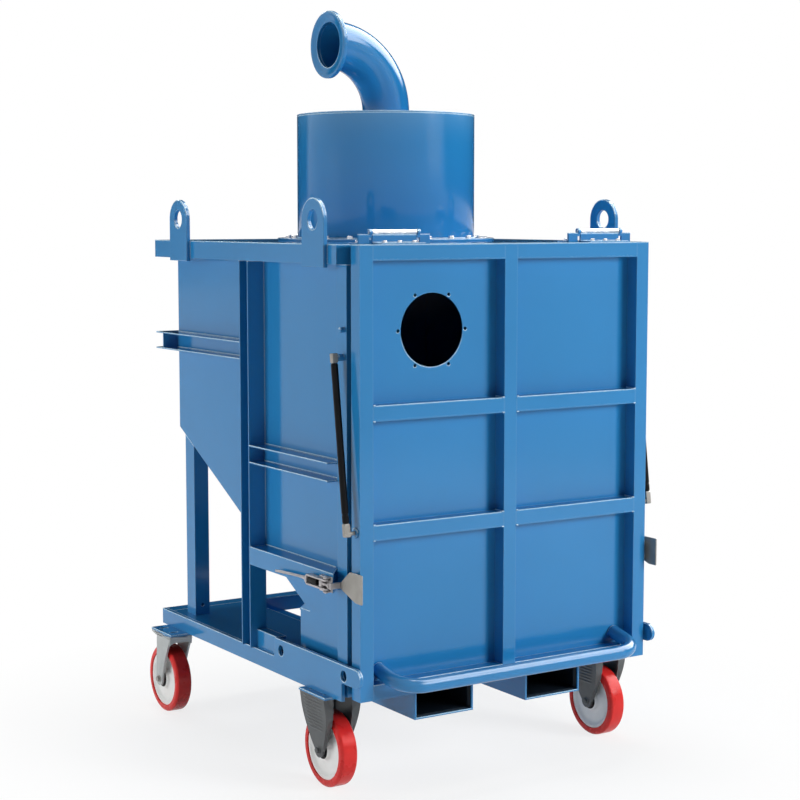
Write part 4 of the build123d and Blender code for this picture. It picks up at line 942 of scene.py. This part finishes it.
def hoodSheet(look, x):
    # sheet across the fork's front: section (y, z) at each x, lower edge arched between the legs
    across = np.linspace(-1.0, 1.0, hoodSize["steps"])[:, None]
    top = look["top"] + hoodSize["rise"] + 0 * across
    low = look["top"] - hoodSize["drop"] - hoodSize["arch"] * np.abs(across) ** 5
    y = look["front"][0] + np.array(hoodSize["edges"]) + 0 * across
    z = np.concatenate([top, low, low, top], -1)
    size = np.where(np.abs(across) < 1.0, 1.0, 0.0)  # drawn to a point at each end
    midY, midZ = y.mean(-1, keepdims=True), z.mean(-1, keepdims=True)
    y, z = midY + (y - midY) * size, midZ + (z - midZ) * size
    points = np.stack([x + 0 * y + hoodSize["half"] * across, y, z], -1)
    return inFrame(points), gridFaces(*y.shape)


fixedParts, fixedPlates, fixedBolts = [], [], []
for side in (-1, 1):
    x = side * fixedFork["x"]
    plates, bolts = castorPlate(fixedFork, x)
    fixedPlates += plates
    fixedParts += [forkLeg(fixedFork, x, out, True) for out in (-1, 1)]
    fixedBolts += bolts + axleParts(fixedFork, x)
addPiece("fixed_fork_legs", fixedParts, forkGrey, "hopper", ["fixed_castor_forks"])
addPiece("fixed_fork_plates", fixedPlates, bluePaint, "hopper", joined=True)
addPiece("fixed_fork_bolts", fixedBolts, forkGrey, "hopper")

run = np.linspace(0.0, 1.0, 30)  # the pedal rises towards its end
pedalY = between((pedalSize["y"] + pedalSize["start"], pedalSize["end"]), run)
pedalPath = np.stack([pedalY, pedalSize["z"] + pedalSize["lift"] * run**2.2], -1)
treadPoints, treadFaces = barAlong(pedalPath, pedalSize["half"], pedalSize["thick"] / 2)
race, crown = softLoop(swivelFork["race"], 0.6, 4), softLoop(swivelFork["crown"], 0.8, 4)
pedalBarrel = sleeveSection(*pedalSize["barrel"], 0.6)
swivelPlates, swivelBolts = [], []
for side, hand in hands:
    x, y, wide = side * swivelFork["x"], swivelFork["y"], swivelFork["outer"]
    plates, bolts = castorPlate(swivelFork, x)
    swivelPlates += plates + [lathe(race, place(x, y, swivelFork["raceZ"]), zAxis, 64, True)]
    swivelBolts += bolts
    legs = [forkLeg(swivelFork, x, out, False) for out in (-1, 1)]
    head = lathe(crown, place(x, y, swivelFork["crownZ"]), zAxis, 64)
    shoulderLow = (x - wide, swivelFork["front"][0], swivelFork["top"])
    shoulder = softBox(shoulderLow, (x + wide, swivelFork["back"][0], swivelFork["crownZ"]), 3.0)
    pedalMid = place(x, pedalSize["y"], pedalSize["z"])
    pivot = lathe(rodSection(*pedalSize["pivot"]), pedalMid, xAxis, 24)
    forkBody, pedalBody = f"swivel_fork_{hand}", f"brake_pedal_{hand}"
    forkParts = legs + [head, shoulder, hoodSheet(swivelFork, x), pivot]
    addPiece(f"swivel_legs_{hand}", forkParts, forkLight, forkBody, [forkBody])
    addPiece(f"swivel_nuts_{hand}", axleParts(swivelFork, x), zincPlate, forkBody)
    pedal = [(treadPoints + place(x, 0, 0), treadFaces), lathe(pedalBarrel, pedalMid, xAxis, 32, True)]
    addPiece(f"brake_tread_{hand}", pedal, forkLight, pedalBody, [pedalBody])
addPiece("swivel_top_plates", swivelPlates, bluePaint, "hopper", ["swivel_castor_plates"], joined=True)
addPiece("swivel_plate_bolts", swivelBolts, zincPlate, "hopper")
print("castors")


# Stage, light, camera.

stageLook = {
    "floor": 30.0, "floorColour": (0.94, 0.94, 0.94, 1.0), "floorRough": 0.9, "white": (1.0, 1.0, 1.0, 1.0),
    "fadeStart": 0.7, "fadeEnd": 1.5, "glowNear": 0.80, "mirrorFloor": 0.75,
    "sky": (0.075, 0.090, 0.090, 1.0),
    "mirrorLow": (0.90, 0.90, 0.90, 1.0), "mirrorStart": 0.40, "mirrorEnd": 0.95,
    "mirrorBack": (0.012, 0.014, 0.016, 1.0), "backWay": (0.794, 0.604, 0.0),
    "backStart": 0.12, "backEnd": 0.26,
    "boxes": (((0.733, 0.0, 0.68), 0.86, 0.90), ((0.460, -0.680, 0.572), 0.955, 0.975)),
    "boxGlow": (9.0, 9.0, 9.0, 1.0),
}
white = stageLook["white"]
reach = stageLook["floor"]
floorMesh = bpy.data.meshes.new("floor")
floorCorners = [(-reach, -reach, 0), (reach, -reach, 0), (reach, reach, 0), (-reach, reach, 0)]
floorMesh.from_pydata(floorCorners, [], [(0, 1, 2, 3)])
floor = bpy.data.objects.new("floor", floorMesh)
bpy.context.scene.collection.objects.link(floor)
floorFinish, tree, shader = newFinish("pale_floor")
shader.inputs["Base Color"].default_value = stageLook["floorColour"]
shader.inputs["Roughness"].default_value = stageLook["floorRough"]
ray = addNode(tree, "ShaderNodeLightPath").outputs
mirrored = maths(tree, "MULTIPLY", ray["Is Glossy Ray"], stageLook["mirrorFloor"])
seen = maths(tree, "MAXIMUM", ray["Is Camera Ray"], mirrored)
seen = maths(tree, "MAXIMUM", seen, ray["Is Transmission Ray"])
spot = addNode(tree, "ShaderNodeTexCoord").outputs["Object"]
away = addNode(tree, "ShaderNodeVectorMath", {0: spot}, operation="LENGTH").outputs["Value"]
fade = spread(tree, away, stageLook["glowNear"], 1.0, stageLook["fadeStart"], stageLook["fadeEnd"])
share = maths(tree, "MULTIPLY", fade, seen)
glow = addNode(tree, "ShaderNodeEmission", {"Color": white})
blend = addNode(tree, "ShaderNodeMixShader", {0: share, 1: shader.outputs[0], 2: glow.outputs[0]})
tree.links.new(blend.outputs[0], tree.nodes["Material Output"].inputs["Surface"])
floorMesh.materials.append(floorFinish)

# The world is white to the camera; glossy surfaces show a studio, pale in front and dark behind.
world = bpy.data.worlds.new("studio")
bpy.context.scene.world = world
world.use_nodes = True
tree = world.node_tree
tree.nodes.clear()
ray = addNode(tree, "ShaderNodeLightPath").outputs
skyWay = addNode(tree, "ShaderNodeTexCoord").outputs["Generated"]
height = addNode(tree, "ShaderNodeSeparateXYZ", {0: skyWay}).outputs["Z"]
behind = dot(tree, skyWay, stageLook["backWay"])
dim = spread(tree, behind, 0.0, 1.0, stageLook["backStart"], stageLook["backEnd"])
lower = mixColour(tree, dim, stageLook["mirrorLow"], stageLook["mirrorBack"])
rise = spread(tree, height, 0.0, 1.0, stageLook["mirrorStart"], stageLook["mirrorEnd"])
mirror = mixColour(tree, rise, lower, white)
for boxWay, boxRim, boxCore in stageLook["boxes"]:  # soft boxes that glossy surfaces show
    inBox = spread(tree, dot(tree, skyWay, boxWay), 0.0, 1.0, boxRim, boxCore)
    mirror = mixColour(tree, inBox, mirror, stageLook["boxGlow"])
seen = maths(tree, "MAXIMUM", ray["Is Camera Ray"], ray["Is Transmission Ray"])
lit = mixColour(tree, ray["Is Glossy Ray"], stageLook["sky"], mirror)
sky = addNode(tree, "ShaderNodeBackground", {"Color": mixColour(tree, seen, lit, white)})
worldOut = tree.nodes.new("ShaderNodeOutputWorld")
tree.links.new(sky.outputs[0], worldOut.inputs["Surface"])

lampLook = {
    "top_light": {"spot": (0.3, 0.4, 5.4), "aim": (0.0, 0.2, 0.8), "size": (3.0, 0.9), "watts": 138.0,
                  "shine": True},
    "front_light": {"spot": (3.4, -5.4, 2.6), "aim": (0.0, -0.5, 0.9), "size": (2.2, 1.6), "watts": 330.0,
                    "shine": False},
    "left_light": {"spot": (-5.4, 1.3, 1.35), "aim": (-0.4, 0.0, 0.8), "size": (2.2, 2.6), "watts": 142.0,
                   "shine": False},
    "back_light": {"spot": (-0.6, 6.0, 4.6), "aim": (0.0, 0.0, 1.0), "size": (3.2, 0.8), "watts": 70.0,
                   "shine": True},
}
for name, look in lampLook.items():
    lamp = bpy.data.lights.new(name, "AREA")
    lamp.shape = "RECTANGLE"
    lamp.size, lamp.size_y = look["size"]
    lamp.energy = look["watts"]
    holder = bpy.data.objects.new(name, lamp)
    holder.location = look["spot"]
    holder.rotation_euler = (Vector(look["aim"]) - Vector(look["spot"])).to_track_quat("-Z", "Y").to_euler()
    holder.visible_glossy = look["shine"]
    bpy.context.scene.collection.objects.link(holder)

lens = {"spot": (-2.74057, -4.27952, 1.48191), "yaw": 32.62, "pitch": 5.88, "focal": 80.233, "sensor": 36.0,
        "far": 60.0}
camera = bpy.data.cameras.new("camera")
camera.sensor_width = lens["sensor"]
camera.sensor_fit = "HORIZONTAL"
camera.lens = lens["focal"]
camera.clip_end = lens["far"]
shot = bpy.data.objects.new("camera", camera)
shot.location = lens["spot"]
shot.rotation_euler = (math.radians(90.0 - lens["pitch"]), 0.0, math.radians(-lens["yaw"]))
bpy.context.scene.collection.objects.link(shot)
bpy.context.scene.camera = shot
bpy.context.scene.view_settings.view_transform = "Standard"
print("stage and camera")
